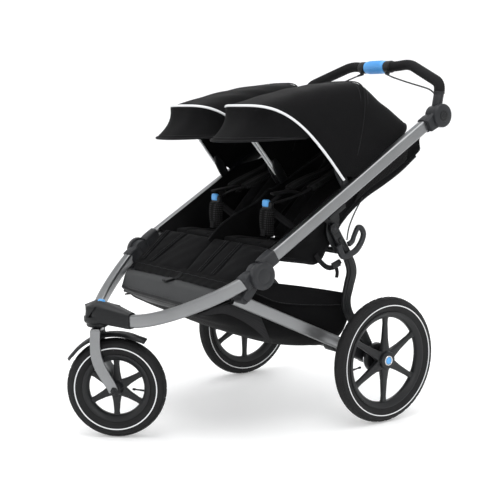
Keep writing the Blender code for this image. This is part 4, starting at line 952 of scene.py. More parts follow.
# ------------------------------------------------------------ struts, latches
def make_struts():
    route = [STRUT_TOP, (-0.135, 0.586), (-0.098, 0.530), (-0.078, 0.481), (-0.088, 0.435),
             (-0.098, 0.388), (-0.086, 0.345), STRUT_FOOT]
    for side, name in SIDES:
        low, high = side * 0.2905, side * 0.3025
        widths = (0.030, 0.031, 0.033, 0.037, 0.036, 0.033, 0.030, 0.027)
        spine = bar(route, widths, side * 0.2965, 0.0115, 0.003, 6)
        rail = bar([(y - 0.001, z) for y, z in route[1:-1]], (0.012, 0.015, 0.019, 0.018, 0.015, 0.012),
                   side * 0.3035, 0.0040, 0.0015, 6)
        eyes = [disc(low, high + side * 0.002, 0.0165, *p, 0.002) for p in (STRUT_TOP, STRUT_FOOT)]
        piece("strut_arm_" + name, [spine, rail] + eyes, "moulded_nylon", "strut_" + name,
              ("strut_" + name,), bevel=0.0008)
        rivets = [disc(side * 0.302, side * 0.3062, 0.0062, *p, 0.0015, steps=24)
                  for p in (STRUT_TOP, STRUT_FOOT)]
        piece("strut_rivets_" + name, rivets, "charcoal_nylon", "strut_" + name)
        saddle = hull([along_upper(d, h, side * x) for x in (0.2845, 0.3385)
                       for d, h in ((0.300, -0.0196), (0.375, -0.0196), (0.370, -0.031),
                                    (0.305, -0.031))])
        web = bar([(-0.163, 0.664), (-0.150, 0.640), (-0.154, 0.600), (-0.127, 0.545)],
                  (0.066, 0.052, 0.042, 0.026), side * 0.2865, 0.0055, 0.002, 5)
        piece("strut_saddle_" + name, [saddle, web], "moulded_nylon", "upper_frame",
              ("strut_bracket_" + name,), bevel=0.0012)
        hook = [(-0.149, 0.567), (-0.129, 0.531), (-0.100, 0.536), (-0.075, 0.547), (-0.055, 0.570),
                (-0.046, 0.595), (-0.056, 0.614), (-0.070, 0.617), (-0.085, 0.592), (-0.092, 0.576),
                (-0.107, 0.567)]
        lever = bar(hook, (0.020, 0.019, 0.018, 0.018, 0.017, 0.016, 0.015, 0.014, 0.013, 0.014, 0.016),
                    side * 0.3125, 0.0120, 0.003, 4)
        piece("fold_latch_" + name, [lever], "charcoal_nylon", "upper_frame", bevel=0.001)
        tether = [(-0.214, 0.540), (-0.193, 0.515), (-0.165, 0.496), (-0.137, 0.496),
                  (-0.112, 0.512)]
        strap = bar(tether, (0.016,), side * 0.2835, 0.0016, 0.0007, 6)
        tail = bar([(-0.131, 0.498), (-0.124, 0.478), (-0.126, 0.460)], (0.014,), side * 0.2815,
                   0.0015, 0.0007, 5)
        piece("tether_strap_" + name, [strap, tail], "nylon_webbing", "upper_frame")
        clip = bar([(-0.146, 0.497), (-0.116, 0.508)], (0.022,), side * 0.2835, 0.0065, 0.002, 3)
        piece("tether_clip_" + name, [clip], "moulded_nylon", "upper_frame", bevel=0.0006)
        pull = curve_through([at(side * 0.3000, y, z) for y, z in (
            (-0.042, 0.708), (-0.060, 0.682), (-0.079, 0.652), (-0.096, 0.616), (-0.103, 0.578))], 5)
        piece("fold_pull_" + name, [swept(pull, ring(0.0021, 10), False)], "cable_jacket",
              "upper_frame")
    rod = [at(x, -0.125, 0.545) for x in (-0.290, 0, 0.290)]
    piece("cross_tube", [swept(rod, ring(0.0098, 24))], "anodised_aluminium", "upper_frame",
          ("seat_cross_bar",))


# ----------------------------------------------------------------- handlebar
def eased(points, radius, steps=6):
    """A line of straight runs with each corner rounded off."""
    pts = [Vector(p) for p in points]
    line = [pts[0]]
    for before, corner, after in zip(pts, pts[1:], pts[2:]):
        first = corner + (before - corner).normalized() * min(radius, (before - corner).length * 0.48)
        last = corner + (after - corner).normalized() * min(radius, (after - corner).length * 0.48)
        for i in range(steps + 1):
            t = i / steps
            line.append(first * (1 - t) ** 2 + corner * 2 * t * (1 - t) + last * t * t)
    return line + [pts[-1]]


def make_handlebar():
    bends = [(TUBE_X, *HANDLE_PIVOT), (TUBE_X, HANDLE_PIVOT[0] + 0.010, HANDLE_PIVOT[1] + 0.050),
             (TUBE_X, HANDLE_PIVOT[0] + 0.018, HANDLE_PIVOT[1] + 0.102)]
    near = [at(*p) for p in bends] + [at(0.143, GRIP_POINT[0] - 0.002, GRIP_POINT[1] + 0.006),
                                      at(0.075, *GRIP_POINT)]
    whole = eased(near + [Vector((-p.x, p.y, p.z)) for p in reversed(near)], 0.030, 9)
    ring_line = AXLE_Y, HANDLE_PIVOT[1] + 0.073
    upper = [p for p in whole if p.z > ring_line[1]]
    first = Vector((TUBE_X, upper[0].y - 0.0006, ring_line[1]))
    upper = [first] + upper + [Vector((-first.x, first.y, first.z))]
    piece("grip_foam", [swept(upper, ring(0.0172, 36), False)], "eva_foam", "handlebar",
          ("handlebar",), bevel=0.0015)
    arms = []
    for side, _ in SIDES:
        low, high = near[0], first
        arms.append(swept([Vector((side * TUBE_X, *low.lerp(high, t).yz)) for t in (0.0, 0.5, 1.02)],
                          ring(0.0162, 36), False))
        arms.append(disc(side * (TUBE_X - 0.015), side * (TUBE_X + 0.0152), 0.0315, *HANDLE_PIVOT,
                         0.002))
        arms.append(swept([Vector((side * TUBE_X, first.y, first.z + dz)) for dz in (-0.004, 0.003)],
                          ring(0.0181, 36), False))
    piece("handle_arms", arms, "charcoal_nylon", "handlebar", bevel=0.0008)
    grip = Matrix.Translation(at(0, *GRIP_POINT))
    for name, start, tilt in (("right", -0.0965, -1), ("left", 0.0285, 1)):
        collar = [(start, 0.0168), (start + 0.001, 0.0200), (start + 0.0045, 0.0208),
                  (start + 0.0255, 0.0208), (start + 0.029, 0.0200), (start + 0.030, 0.0168)]
        lug = swept([at(start + 0.015, GRIP_POINT[0] - 0.006, GRIP_POINT[1] - 0.014),
                     at(start + 0.015 + tilt * 0.004, GRIP_POINT[0] - 0.010, GRIP_POINT[1] - 0.023)],
                    rounded_box(0.013, 0.016, 0.004), False)
        piece("grip_collar_" + name, [moved(turned(collar, 40), grip), lug], "moulded_nylon",
              "handlebar", bevel=0.001)
    sleeve = [(0.028, 0.0170), (0.028, 0.0195), (0.0262, 0.0214), (0.020, 0.0218), (-0.058, 0.0218),
              (-0.0642, 0.0214), (-0.066, 0.0195), (-0.066, 0.0170)]
    piece("twist_sleeve", [moved(turned(sleeve, 56), grip)], "accent_rubber", "brake_twist",
          ("brake_grip",))
    rib = swept([(-0.052, 0, 0.0216), (-0.050, 0, 0.0222), (0.012, 0, 0.0222), (0.014, 0, 0.0216)],
                [(-0.0009, -0.0008), (0.0009, -0.0008), (0.0006, 0.0006), (-0.0006, 0.0006)])
    copies_round("twist_ribs", [rib], 28, "accent_rubber", "brake_twist", grip)
    for side, name in SIDES:
        start = 0.028 + 0.015 if side > 0 else 0.066 + 0.015
        inside = TUBE_X - 0.0165 - 0.001
        clear = 0.0205 + 0.0025 + 0.0034
        steps = [(start, -0.455 * clear, -0.890 * clear), (start + 0.030, -0.022, -0.034),
                 (0.170, -0.036, -0.056), (0.240, -0.046, -0.070),
                 (inside - 0.0235, -0.050, -0.080), (inside, -0.051, -0.096)]
        route = eased([at(side * x, GRIP_POINT[0] + y, GRIP_POINT[1] + z) for x, y, z in steps],
                      0.030, 5)
        cable = piece("brake_line_" + name, [swept(route, ring(0.0025, 14), False)], "cable_jacket",
                      "handlebar", ("brake_cable_" + name,))
        boot = swept([route[0].lerp(route[1], t) for t in (-0.35, 0.0, 0.5, 1.0)], ring(0.0046, 18),
                     False, sizes=[(1, 1), (1, 1), (0.85, 0.85), (0.62, 0.62)])
        piece("cable_boot_" + name, [boot], "moulded_nylon", "handlebar")


# ---------------------------------------------------------------- soft goods
def swollen(name, shapes, held, voxel=0.006, cap=0.010):
    """A stuffed cloth form: remeshed, blown up by a cloth run, and held where held(point) says."""
    obj = mesh_object(name, shapes)
    voxels = obj.modifiers.new("voxels", "REMESH")
    voxels.mode = "VOXEL"
    voxels.voxel_size = voxel
    settle(obj)
    mesh = obj.data
    before = np.empty(len(mesh.vertices) * 3)
    mesh.vertices.foreach_get("co", before)
    before = before.reshape(-1, 3)
    sewn = [v.index for v in mesh.vertices if held(v.co)]
    group = obj.vertex_groups.new(name="sewn")
    group.add(sewn, 1.0, "REPLACE")
    cloth = obj.modifiers.new("cloth", "CLOTH")
    cloth.settings.use_pressure = True
    cloth.settings.uniform_pressure_force = bpy.context.scene.stroller.pad_pressure
    cloth.settings.vertex_group_mass = "sewn"
    cloth.settings.effector_weights.gravity = 0.0
    cloth.settings.tension_stiffness = 12
    cloth.settings.compression_stiffness = 12
    cloth.settings.bending_stiffness = 0.6
    cloth.collision_settings.use_collision = False
    cloth.collision_settings.use_self_collision = False
    for step in range(1, 21):
        bpy.context.scene.frame_set(step)
    settle(obj)
    bpy.context.scene.frame_set(1)
    obj.vertex_groups.clear()
    mesh = obj.data
    after = np.empty(len(before) * 3)
    mesh.vertices.foreach_get("co", after)
    step = after.reshape(-1, 3) - before
    size = np.linalg.norm(step, axis=1, keepdims=True)
    step *= np.minimum(size, cap) / np.maximum(size, 1e-9)
    mesh.vertices.foreach_set("co", (before + step).ravel())
    mesh.update()
    soft = obj.modifiers.new("soft", "SMOOTH")
    soft.iterations = 2
    soft.factor = 0.5
    flow = obj.modifiers.new("flow", "SUBSURF")
    flow.levels = flow.render_levels = 1
    return settle(obj)


def quilt(obj, seams, first, second, depth, crown, below=0.012):
    """Sinks seams, given as x at the first and second edge, and crowns the fields between."""
    first, second = Vector(first), Vector(second)
    run = (second - first).normalized()
    up = Vector((0, -run.y, run.x)) if run.x > 0 else Vector((0, run.y, -run.x))
    length = (second - first).length
    for v in obj.data.vertices:
        under, along = face_height(v.co, first, second)
        if under > below and (Vector((v.co.y - AXLE_Y, v.co.z)) - first).dot(up.yz) < 0:
            continue
        t = min(max(along / length, 0.0), 1.0)
        lines = sorted(a + (b - a) * t for a, b in seams)
        gap = min(abs(v.co.x - x) for x in lines)
        left = max([x for x in lines if x <= v.co.x], default=None)
        right = min([x for x in lines if x > v.co.x], default=None)
        if left is None or right is None:
            continue
        share = (v.co.x - left) / (right - left)
        puff = crown * (1 - abs(2 * share - 1) ** 3) * (1 - abs(2 * t - 1) ** 5)
        v.co += up * (puff - depth * math.exp(-(gap / 0.0042) ** 2) + 0.0006 * math.sin(
            v.co.x * 90 + t * 14))


def cushion(name, shapes, body, held, replaces=(), cap=0.010, voxel=0.006,
            finish="padded_polyester", seams=None):
    obj = swollen(name, shapes, held, voxel, cap)
    if seams:
        quilt(obj, *seams)
    dress(obj, finish, body, replaces, sharp=180)
    return obj


def cloth(name, rows, body, held, rests_on, replaces=(), wall=0.0022, finish="woven_polyester",
          smooth=1):
    """A sheet of cloth through rows of points; the size it was cut to is worked out but not kept."""
    obj = piece(name, [grid(rows)], finish, body, replaces, wall=wall, offset=0.0, smooth=smooth,
                sharp=70)
    across = max(sum((b - a).length for a, b in zip(row, row[1:])) for row in rows)
    down = max(sum((b - a).length for a, b in zip(line, line[1:])) for line in zip(*rows))
    area = 0.0
    for row, after in zip(rows, rows[1:]):
        for a, b, c, d in zip(row, row[1:], after[1:], after):
            area += ((b - a).cross(c - a).length + (c - a).cross(d - a).length) / 2
    down = min(down, area / across / 0.31)
    return obj


def piping(name, line, radius, finish, body, closed=False):
    return piece(name, [swept(line, ring(radius, 10), False, closed=closed)], finish, body)


def strap(name, path, width, thickness, body, finish="nylon_webbing", face=Vector((0, -1, 1)),
          steps=6):
    """A flat strap along points, lying square to face."""
    line = curve_through(path, steps)
    rings = []
    for i, centre in enumerate(line):
        run = (line[min(i + 1, len(line) - 1)] - line[max(i - 1, 0)]).normalized()
        side = run.cross(face).normalized()
        rise = side.cross(run)
        rings.append([centre + side * u + rise * v
                      for u, v in rounded_box(width, thickness, thickness * 0.45, 3)])
    return piece(name, [lofted(rings)], finish, body)


def shoulder_pad(name, path, body):
    """A stuffed sleeve round a harness strap, open-ended and slightly bowed."""
    line = curve_through(path, 8)
    rings = []
    for i, centre in enumerate(line):
        run = (line[min(i + 1, len(line) - 1)] - line[max(i - 1, 0)]).normalized()
        side = Vector((1, 0, 0))
        rise = side.cross(run).normalized()
        share = i / (len(line) - 1)
        full = 1 - 0.22 * abs(2 * share - 1) ** 6
        rings.append([centre + side * u * full + rise * v * full
                      for u, v in rounded_box(0.046, 0.019, 0.0092, 5)])
    obj = piece(name, [lofted(rings)], "spacer_mesh", body, smooth=1, sharp=180)
    edges = []
    for u in (-0.0236, 0.0236):
        edges.append([Vector((c.x + u, c.y, c.z)) for c in line[2:-2]])
    for i, edge in enumerate(edges):
        piping(name + ("_edge_in", "_edge_out")[i], edge, 0.0016, "nylon_webbing", body)
    return obj


def board_line(points, steps=6):
    return [Vector((0, p.y, p.z)) for p in curve_through([(0, y, z) for y, z in points], steps)]


def pad_box(first, second, thickness, low, high, inset):
    """A thin closed form under the line between two (y, z) points, drawn in by inset."""
    first, second = Vector((0, *first)), Vector((0, *second))
    run = (second - first).normalized()
    down = Vector((0, run.z, -run.y)) if run.y > 0 else Vector((0, -run.z, run.y))
    a = first + run * inset + down * inset
    b = second - run * inset + down * inset
    low, high = min(low, high) + inset, max(low, high) - inset
    depth = thickness - 2 * inset
    corners = [Vector((x, 0, 0)) + p + down * d + Vector((0, AXLE_Y, 0))
               for x in (low, high) for p in (a, b) for d in (0, depth)]
    return hull(corners)


def face_height(point, first, second):
    """How far a point is below the line between two (y, z) points, and how far along it."""
    first, second = Vector(first), Vector(second)
    run = (second - first).normalized()
    step = Vector((point.y - AXLE_Y, point.z)) - first
    return abs(step.x * run.y - step.y * run.x), step.dot(run)


def make_footrest():
    path = [(-0.526, 0.4545), (-0.552, 0.4530), (-0.5765, 0.4500), (-0.5850, 0.4430),
            (-0.5990, 0.4255), (-0.6130, 0.4080)]
    widths = [LEG_X + w for w in (0.029, 0.023, 0.014, 0.008, -0.006, -0.018)]
    rows = []
    for (y, z), w in zip(path, widths):
        rows.append([at(w * (2 * i / 24 - 1), y, z + 0.0012 * math.cos(math.pi * (i / 12 - 1)))
                     for i in range(25)])
    piece("foot_board", [grid(rows)], "grained_board", "lower_frame", ("footrest",), wall=0.0055,
          bevel=0.0012, rounds=2)
    lip = [at(0.215 * (2 * i / 40 - 1), -0.6125 + 0.006 * abs(2 * i / 40 - 1) ** 8,
              0.4045 + 0.003 * abs(2 * i / 40 - 1) ** 8) for i in range(41)]
    under = [at(p.x * 0.985, -0.603, 0.3945) for p in lip]
    piece("foot_lip", [swept(lip, rounded_box(0.0080, 0.0125, 0.0032, 3)),
                       swept(under, rounded_box(0.0090, 0.0090, 0.003, 3))], "moulded_nylon",
          "lower_frame")
    # painted shade: a dark moulded sheet hung under the lip, standing in for the shade beneath the
    # footrest
    shade_sheet_rows = []
    for y, z, w in ((-0.606, 0.396, 0.205), (-0.603, 0.386, 0.196), (-0.594, 0.376, 0.180),
                    (-0.580, 0.371, 0.160)):
        shade_sheet_rows.append([at(w * (2 * i / 24 - 1), y + 0.012 * abs(i / 12 - 1) ** 3, z)
                       for i in range(25)])
    piece("footrest_shade_sheet", [grid(shade_sheet_rows)], "moulded_nylon", "lower_frame", wall=0.004, smooth=1)
    top, foot = LEG_PANEL
    seams = (0.0, 0.080, 0.153, -0.155, -0.255)

    def held(p):
        below, along = face_height(p, top, foot)
        lean = 1.0 + 0.10 * (along / 0.158 - 0.5)
        near_seam = any(abs(p.x - x * lean) < 0.0050 for x in seams)
        return below > 0.0105 or (near_seam and below < 0.012)
    form = pad_box(top, foot, 0.018, -0.296, 0.296, 0.0030)
    lines = [(-0.300, -0.300), (-0.262, -0.255), (-0.158, -0.205), (-0.004, 0.0), (0.084, 0.078),
             (0.156, 0.150), (0.300, 0.300)]
    cushion("leg_panel", [form], "lower_frame", held, ("leg_flap",), cap=0.0075, voxel=0.005,
            seams=(lines, top, foot, 0.0042, 0.0065))
    stitches = []
    for a, b in lines[1:3] + lines[4:6]:
        for shift in (-0.0060, 0.0060):
            stitches.append([at(a + (b - a) * t + shift, *Vector(top).lerp(Vector(foot), t))
                             + Vector((0, -0.0045, 0.0053)) for t in (0.08, 0.35, 0.65, 0.92)])
    stitching("leg_panel_seams", stitches, "lower_frame")
    strip = []
    for y, z, w in ((-0.498, 0.484, 0.294), (-0.516, 0.472, 0.292), (-0.529, 0.4615, 0.275),
                    (-0.544, 0.4560, 0.256)):
        strip.append([at(w * (2 * i / 48 - 1), y, z + 0.0009 * math.sin(i * 1.7)) for i in range(49)])
    cloth("leg_panel_hem", strip, "lower_frame", "stretched", ["foot_board"])
    stitching("leg_panel_thread", [[p + Vector((0, -0.0013, 0.0016)) for p in strip[1]]],
              "lower_frame")
    strap("leg_panel_loop", [at(0.0, -0.520, 0.4720), at(0.0, -0.536, 0.4600), at(0.0, -0.560, 0.4560),
                             at(0.0, -0.574, 0.4535)], 0.020, 0.0018, "lower_frame")
    clip = swept([at(0.0, -0.556, 0.4590), at(0.0, -0.584, 0.4545)], rounded_box(0.028, 0.0065, 0.003))
    piece("leg_panel_clip", [clip], "moulded_nylon", "lower_frame", bevel=0.0008)


def make_seats():
    for side, name in SIDES:
        low, high = side * SEAT_X[0], side * SEAT_X[1]
        pan = pad_box(PAN_FRONT, PAN_REAR, 0.034, low, high, 0.0035)
        creases = (0.080, 0.200)

        def pan_held(p):
            below = face_height(p, PAN_FRONT, PAN_REAR)[0]
            seam = any(abs(abs(p.x) - x) < 0.0045 for x in creases)
            return below > 0.022 or (seam and below < 0.014)
        lines = [(side * x, side * x) for x in (0.006, 0.080, 0.200, 0.272)]
        cushion("seat_pad_" + name, [pan], "upper_frame", pan_held, ("seat_" + name,), cap=0.008,
                seams=(lines, PAN_FRONT, PAN_REAR, 0.0035, 0.004))
        run = Vector((math.cos(BACK_SLOPE), math.sin(BACK_SLOPE)))
        normal = Vector((-run.y, run.x))
        first = Vector(RECLINE_PIVOT) + run * 0.012 + normal * 0.015
        last = first + run * BACK_LENGTH
        back = pad_box(first, last, 0.030, side * 0.024, side * 0.254, 0.0035)

        def back_held(p):
            below, along = face_height(p, first, last)
            seam = abs(abs(p.x) - 0.085) < 0.0045 or abs(abs(p.x) - 0.193) < 0.0045
            cross = abs(along - 0.270) < 0.0045
            return below > 0.022 or ((seam or cross) and below < 0.012)
        lines = [(side * x, side * x) for x in (0.020, 0.085, 0.193, 0.258)]
        cushion("back_pad_" + name, [back], "backrest_" + name, back_held, ("backrest_" + name,),
                cap=0.009, seams=(lines, first, last, 0.004, 0.005))
        sling = []
        for i in range(25):
            d = -0.006 + (BACK_LENGTH + 0.010) * i / 24
            p = first + run * d - normal * 0.0335
            sling.append([at(side * (0.009 + 0.262 * j / 12), p.x + 0.0014 * math.sin(i + j), p.y)
                          for j in range(13)])
        cloth("back_sling_" + name, sling, "backrest_" + name, "stretched", ["back_pad_" + name])
        make_side_cloth(side, name)
        make_harness(side, name)
    divider = [(-0.419, 0.569), (-0.374, 0.611), (-0.322, 0.642), (-0.276, 0.661), (-0.226, 0.683),
               (-0.182, 0.719), (-0.148, 0.728), (0.060, 0.836)]
    low_edge = [(-0.400, 0.556), (-0.350, 0.552), (-0.290, 0.545), (-0.240, 0.536), (-0.206, 0.532),
                (-0.168, 0.587), (-0.110, 0.652), (0.060, 0.792)]
    top, foot = board_line(divider, 5), board_line(low_edge, 5)
    rows = [[at(0.0032 * math.sin(j * 0.9 + i * 0.25) * (t * (1 - t)) ** 0.5, *a.lerp(b, t).yz)
             for j, (a, b) in enumerate(zip(top, foot))] for i, t in enumerate(
                 [k / 8 for k in range(9)])]
    cloth("divider_cloth", rows, "upper_frame", "stretched", ["seat_pad_left"], ("seat_divider",),
          wall=0.0050)
    piping("divider_piping", [at(0, p.y, p.z) for p in top], 0.0028, "nylon_webbing", "upper_frame")


def make_side_cloth(side, name):
    """The side panel that hangs from the upper tube down to the seat."""
    edge = board_line([(-0.347, 0.536), (-0.268, 0.523), (-0.201, 0.515), (-0.170, 0.550),
                       (-0.136, 0.591), (-0.091, 0.648), (0.0, 0.712), (0.120, 0.771),
                       (0.233, 0.848)], 5)
    rows = []
    for i in range(11):
        t = i / 10
        row = []
        for j, foot in enumerate(edge):
            share = j / (len(edge) - 1)
            cover = min(max((0.66 - share) / 0.12, 0.0), 1.0)
            top = along_upper(0.082 + 0.733 * share, -0.012 + 0.032 * cover, 0)
            sag = 0.0035 * math.sin(math.pi * t) * math.sin(j * 0.55) + 0.004 * math.sin(math.pi * t)
            x = side * (0.300 + 0.0085 * cover - (0.026 + 0.0085 * cover) * min(1.0, t * 1.6) - sag)
            p = top.lerp(at(0, *foot.yz), t)
            row.append(Vector((x, p.y, p.z)))
        rows.append(row)
    cloth("side_cloth_" + name, rows, "upper_frame", "stretched", ["side_tube_" + name], wall=0.002)
    hem = [Vector((side * 0.2725, p.y, p.z)) for p in rows[-1]]
    strap("side_hem_" + name, hem[::3], 0.014, 0.0022, "upper_frame", face=Vector((1, 0, 0)))
    mesh_rows = []
    for i in range(7):
        t = 0.20 + 0.62 * i / 6
        mesh_rows.append([Vector((side * (0.2795 + 0.001 * math.sin(i)), p.y, p.z))
                          for p in (rows[int(t * 10)][j].lerp(rows[int(t * 10) + 1][j], t * 10 % 1)
                                    for j in range(26, 38))])
    cloth("side_mesh_" + name, mesh_rows, "upper_frame", "stretched", ["side_cloth_" + name],
          wall=0.0016, finish="spacer_mesh")


def bend(obj):
    """Takes a strap off its body and bakes its place into its mesh."""
    obj.parent = None
    del obj["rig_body"]
    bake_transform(obj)


def make_harness(side, name):
    body = "backrest_" + name
    if side > 0:
        pads = [(0.100, ((-0.178, 0.728), (-0.108, 0.754), (-0.016, 0.780))),
                (0.175, ((-0.150, 0.731), (-0.097, 0.754), (-0.039, 0.781)))]
        chest = (0.120, (-0.258, 0.716), (-0.145, 0.710))
    else:
        pads = [(-0.175, ((-0.210, 0.719), (-0.140, 0.747), (-0.060, 0.776))),
                (-0.100, ((-0.208, 0.722), (-0.128, 0.752), (-0.040, 0.782)))]
        chest = (-0.160, (-0.290, 0.709), (-0.200, 0.704))
    for i, (x, line) in enumerate(pads):
        pad = shoulder_pad("shoulder_pad_%s_%d" % (name, i), [at(x, *p) for p in line], body)
        if i == 0:
            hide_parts("harness_" + name)
        top = line[-1]
        strap("shoulder_strap_%s_%d" % (name, i),
              [at(x, *line[0]), at(x, top[0] - 0.02, top[1] + 0.002),
               at(x, top[0] + 0.02, top[1] + 0.022), at(x, 0.040, 0.812)],
              0.030, 0.002, body, face=Vector((0, -0.7, 0.7)))
        yoke = strap("pad_to_buckle_%s_%d" % (name, i),
                     [at(x, *line[0]), at((x * 2 + side * SEAT_MIDDLE) / 3, line[0][0] - 0.040, 0.712),
                      at(side * (SEAT_MIDDLE + (0.010 if i else -0.010)), -0.272, 0.690)], 0.022,
                     0.002, body, face=Vector((0, -0.4, 0.9)))
        lap = strap("lap_strap_%s_%d" % (name, i),
              [at(side * (SEAT_MIDDLE + (0.012 if i else -0.012)), -0.283, 0.668),
               at(side * (SEAT_MIDDLE + (0.075 if i else -0.075)), -0.250, 0.622),
               at(side * (SEAT_MIDDLE + (0.110 if i else -0.110)), -0.205, 0.596)], 0.024, 0.002,
                    body, face=Vector((0, -0.5, 0.8)))
        for one in (yoke, lap):
            bend(one)
    x, start, end = chest
    chest_strap = strap("chest_strap_" + name, [at(x, *start), at(x + 0.01, -0.19, 0.722),
                                                at(x + 0.02, *end)], 0.026, 0.0065, body)
    bend(chest_strap)
    x = side * SEAT_MIDDLE
    pad = [[at(x + u, -0.2865 + v - 0.007 * math.sin(3.1 * i / 8), 0.584 + 0.094 * i / 8)
            for u, v in rounded_box(0.050 + 0.012 * i / 8, 0.028, 0.0125, 4)] for i in range(9)]
    crotch = piece("crotch_pad_" + name, [lofted(pad)], "spacer_mesh", "upper_frame", smooth=1,
                   sharp=180)
    shell = [[at(x + u * w, -0.2885 + v * d, z) for u, v in rounded_box(0.042, 0.020, 0.008, 5)]
             for z, w, d in ((0.652, 0.62, 0.8), (0.660, 0.86, 1.0), (0.676, 1.0, 1.0),
                             (0.690, 1.0, 0.95), (0.697, 0.8, 0.7))]
    piece("buckle_shell_" + name, [lofted(shell)], "moulded_nylon", "upper_frame",
          ("buckle_" + name,), bevel=0.0008)
    press = [[at(x + u * w, -0.2955 + v * d, z) for u, v in rounded_box(0.029, 0.0155, 0.006, 5)]
             for z, w, d in ((0.6800, 0.90, 0.8), (0.6825, 1.0, 0.95), (0.6900, 1.0, 1.0),
                             (0.6985, 0.95, 0.95), (0.7020, 0.70, 0.6))]
    piece("buckle_press_" + name, [lofted(press)], "accent_rubber", "buckle_release_" + name,
          ("buckle_button_" + name,), bevel=0.0006)
    strap("crotch_tail_" + name, [at(x, -0.296, 0.660), at(x, -0.303, 0.620),
                                  at(x, -0.309, 0.589)], 0.022, 0.0018, "upper_frame")


# ------------------------------------------------------------------ canopies
def crown_radius(angle):
    """Distance of the canopy's crown from its pivot, by angle from +y."""
    turn = math.radians(max(angle, CREST_ANGLE))
    line = CREST_RADIUS / (math.sin(turn) - CREST_FALL * math.cos(turn))
    return line + 0.0009 * max(CREST_ANGLE - angle, 0.0)


def canopy_point(side, angle, turn, lift=0.0):
    """A point of the canopy: angle about its pivot, turn from its outer foot to its inner."""
    low, high = CANOPY_X
    c, s = math.cos(turn), max(math.sin(turn), 0.0)
    x = (low + high) / 2 + (high - low) / 2 * math.copysign(abs(c) ** 0.48, c)
    flare = 0.022 * max(0.0, 1 - s * 1.35) ** 1.5 if c > 0 else 0.0
    front = angle > CREST_ANGLE
    share = (angle - CREST_ANGLE) / (61 if front else -40)
    bow = math.sin(math.pi * min(max(share, 0.0), 1.0)) * s
    crown = crown_radius(angle) + lift
    if front:
        crown -= 0.016 * share * share
        angle += 9.0 * share * s * s
    reach = HOOP_FOOT + (crown - HOOP_FOOT) * s ** 0.55 - bow * (0.0045 if front else 0.0240)
    reach += bow * 0.0016 * math.sin(turn * 9 + angle * 0.35)
    return at(side * (x + flare), CANOPY_PIVOT[0] + reach * math.cos(math.radians(angle)),
              CANOPY_PIVOT[1] + reach * math.sin(math.radians(angle)))


def canopy_lip(side, turn):
    low, high = CANOPY_X[0] + 0.002, CANOPY_X[1] - 0.002
    c, s = math.cos(turn), max(math.sin(turn), 0.0)
    return at(side * ((low + high) / 2 + (high - low) / 2 * c), -0.274 - 0.214 * s ** 0.75,
              0.896 - 0.010 * s)


def make_canopies():
    for side, name in SIDES:
        angles = [SEAM_ANGLE - 101 * i / 30 for i in range(31)]
        turns = [math.pi * i / 44 for i in range(45)]
        rows = [[canopy_point(side, a, t) for t in turns] for a in angles]
        cloth("hood_cloth_" + name, rows, "upper_frame", "stretched", ["side_tube_" + name],
              ("canopy_hood_" + name,))
        for label, angle in (("crest", CREST_ANGLE), ("rear", 31.0)):
            seam = [canopy_point(side, angle, t, 0.0012) for t in turns[1:-1]]
            piping("hood_seam_%s_%s" % (label, name), seam, 0.0020, "nylon_webbing", "upper_frame")
        stitching("hood_thread_" + name,
                  [[canopy_point(side, a, t, 0.0022) for t in turns[2:-2]] for a in (73.0, 67.0)],
                  "upper_frame")
        band = [canopy_point(side, 130.6, t, 0.0025) for t in turns]
        piping("hood_band_" + name, band, 0.0040, "reflective_tape", "upper_frame")
        first = 0.28
        arcs = [first + (math.pi - 2 * first) * i / 44 for i in range(45)]
        brim = []
        for k in range(13):
            t = k / 12
            row = []
            for i, turn in enumerate(arcs):
                top, foot = canopy_point(side, SEAM_ANGLE, turn), canopy_lip(side, math.pi * i / 44)
                hollow = 0.022 * math.sin(math.pi * t) * math.sin(math.pi * i / 44)
                row.append(top.lerp(foot, t) + Vector((0, hollow - 0.001 * math.sin(i * 0.8) * t, 0)))
            brim.append(row)
        cloth("visor_cloth_" + name, brim, "canopy_" + name, "stretched", ["hood_cloth_" + name],
              ("canopy_visor_" + name,))
        edge = [p + Vector((0, -0.001, 0.0)) for p in brim[-1]]
        piping("visor_edge_" + name, edge, 0.0036, "nylon_webbing", "canopy_" + name)
        stitching("visor_thread_" + name,
                  [[p + Vector((0, -0.0006, 0.0022)) for p in brim[11]]], "canopy_" + name)
        for label, x, lean in (("outer", 0.3165, 1), ("inner", 0.0135, -1)):
            paddle = bar([(-0.125, 0.745), (-0.140, 0.768), (-0.158, 0.796), (-0.170, 0.818)],
                         (0.030, 0.034, 0.030, 0.016), side * x, 0.0085, 0.004, 6)
            boss = disc(side * (x - 0.003 * lean), side * (x + 0.0072 * lean), 0.0105, -0.134, 0.758,
                        0.002, steps=32)
            piece("hood_hinge_%s_%s" % (label, name), [paddle, boss], "moulded_nylon",
                  "upper_frame", bevel=0.0012)
    make_curtain()


def make_curtain():
    """The cloth behind the seats, from the canopies' rear hoops down to the backrests."""
    for side, name in SIDES:
        top = [canopy_point(side, 30.0, math.pi * (i + 2) / 32) for i in range(29)]
        rows = []
        for k in range(9):
            t = k / 8
            row = []
            for i, p in enumerate(top):
                foot = at(side * (0.290 - 0.275 * i / 28), 0.135 + 0.004 * math.sin(i * 0.9),
                          0.838)
                pull = 0.010 * math.sin(math.pi * t)
                row.append(p.lerp(foot, t) + Vector((0, -pull, -pull * 0.5)))
            rows.append(row)
        cloth("rear_curtain_" + name, rows, "upper_frame", "hung", ["hood_cloth_" + name])


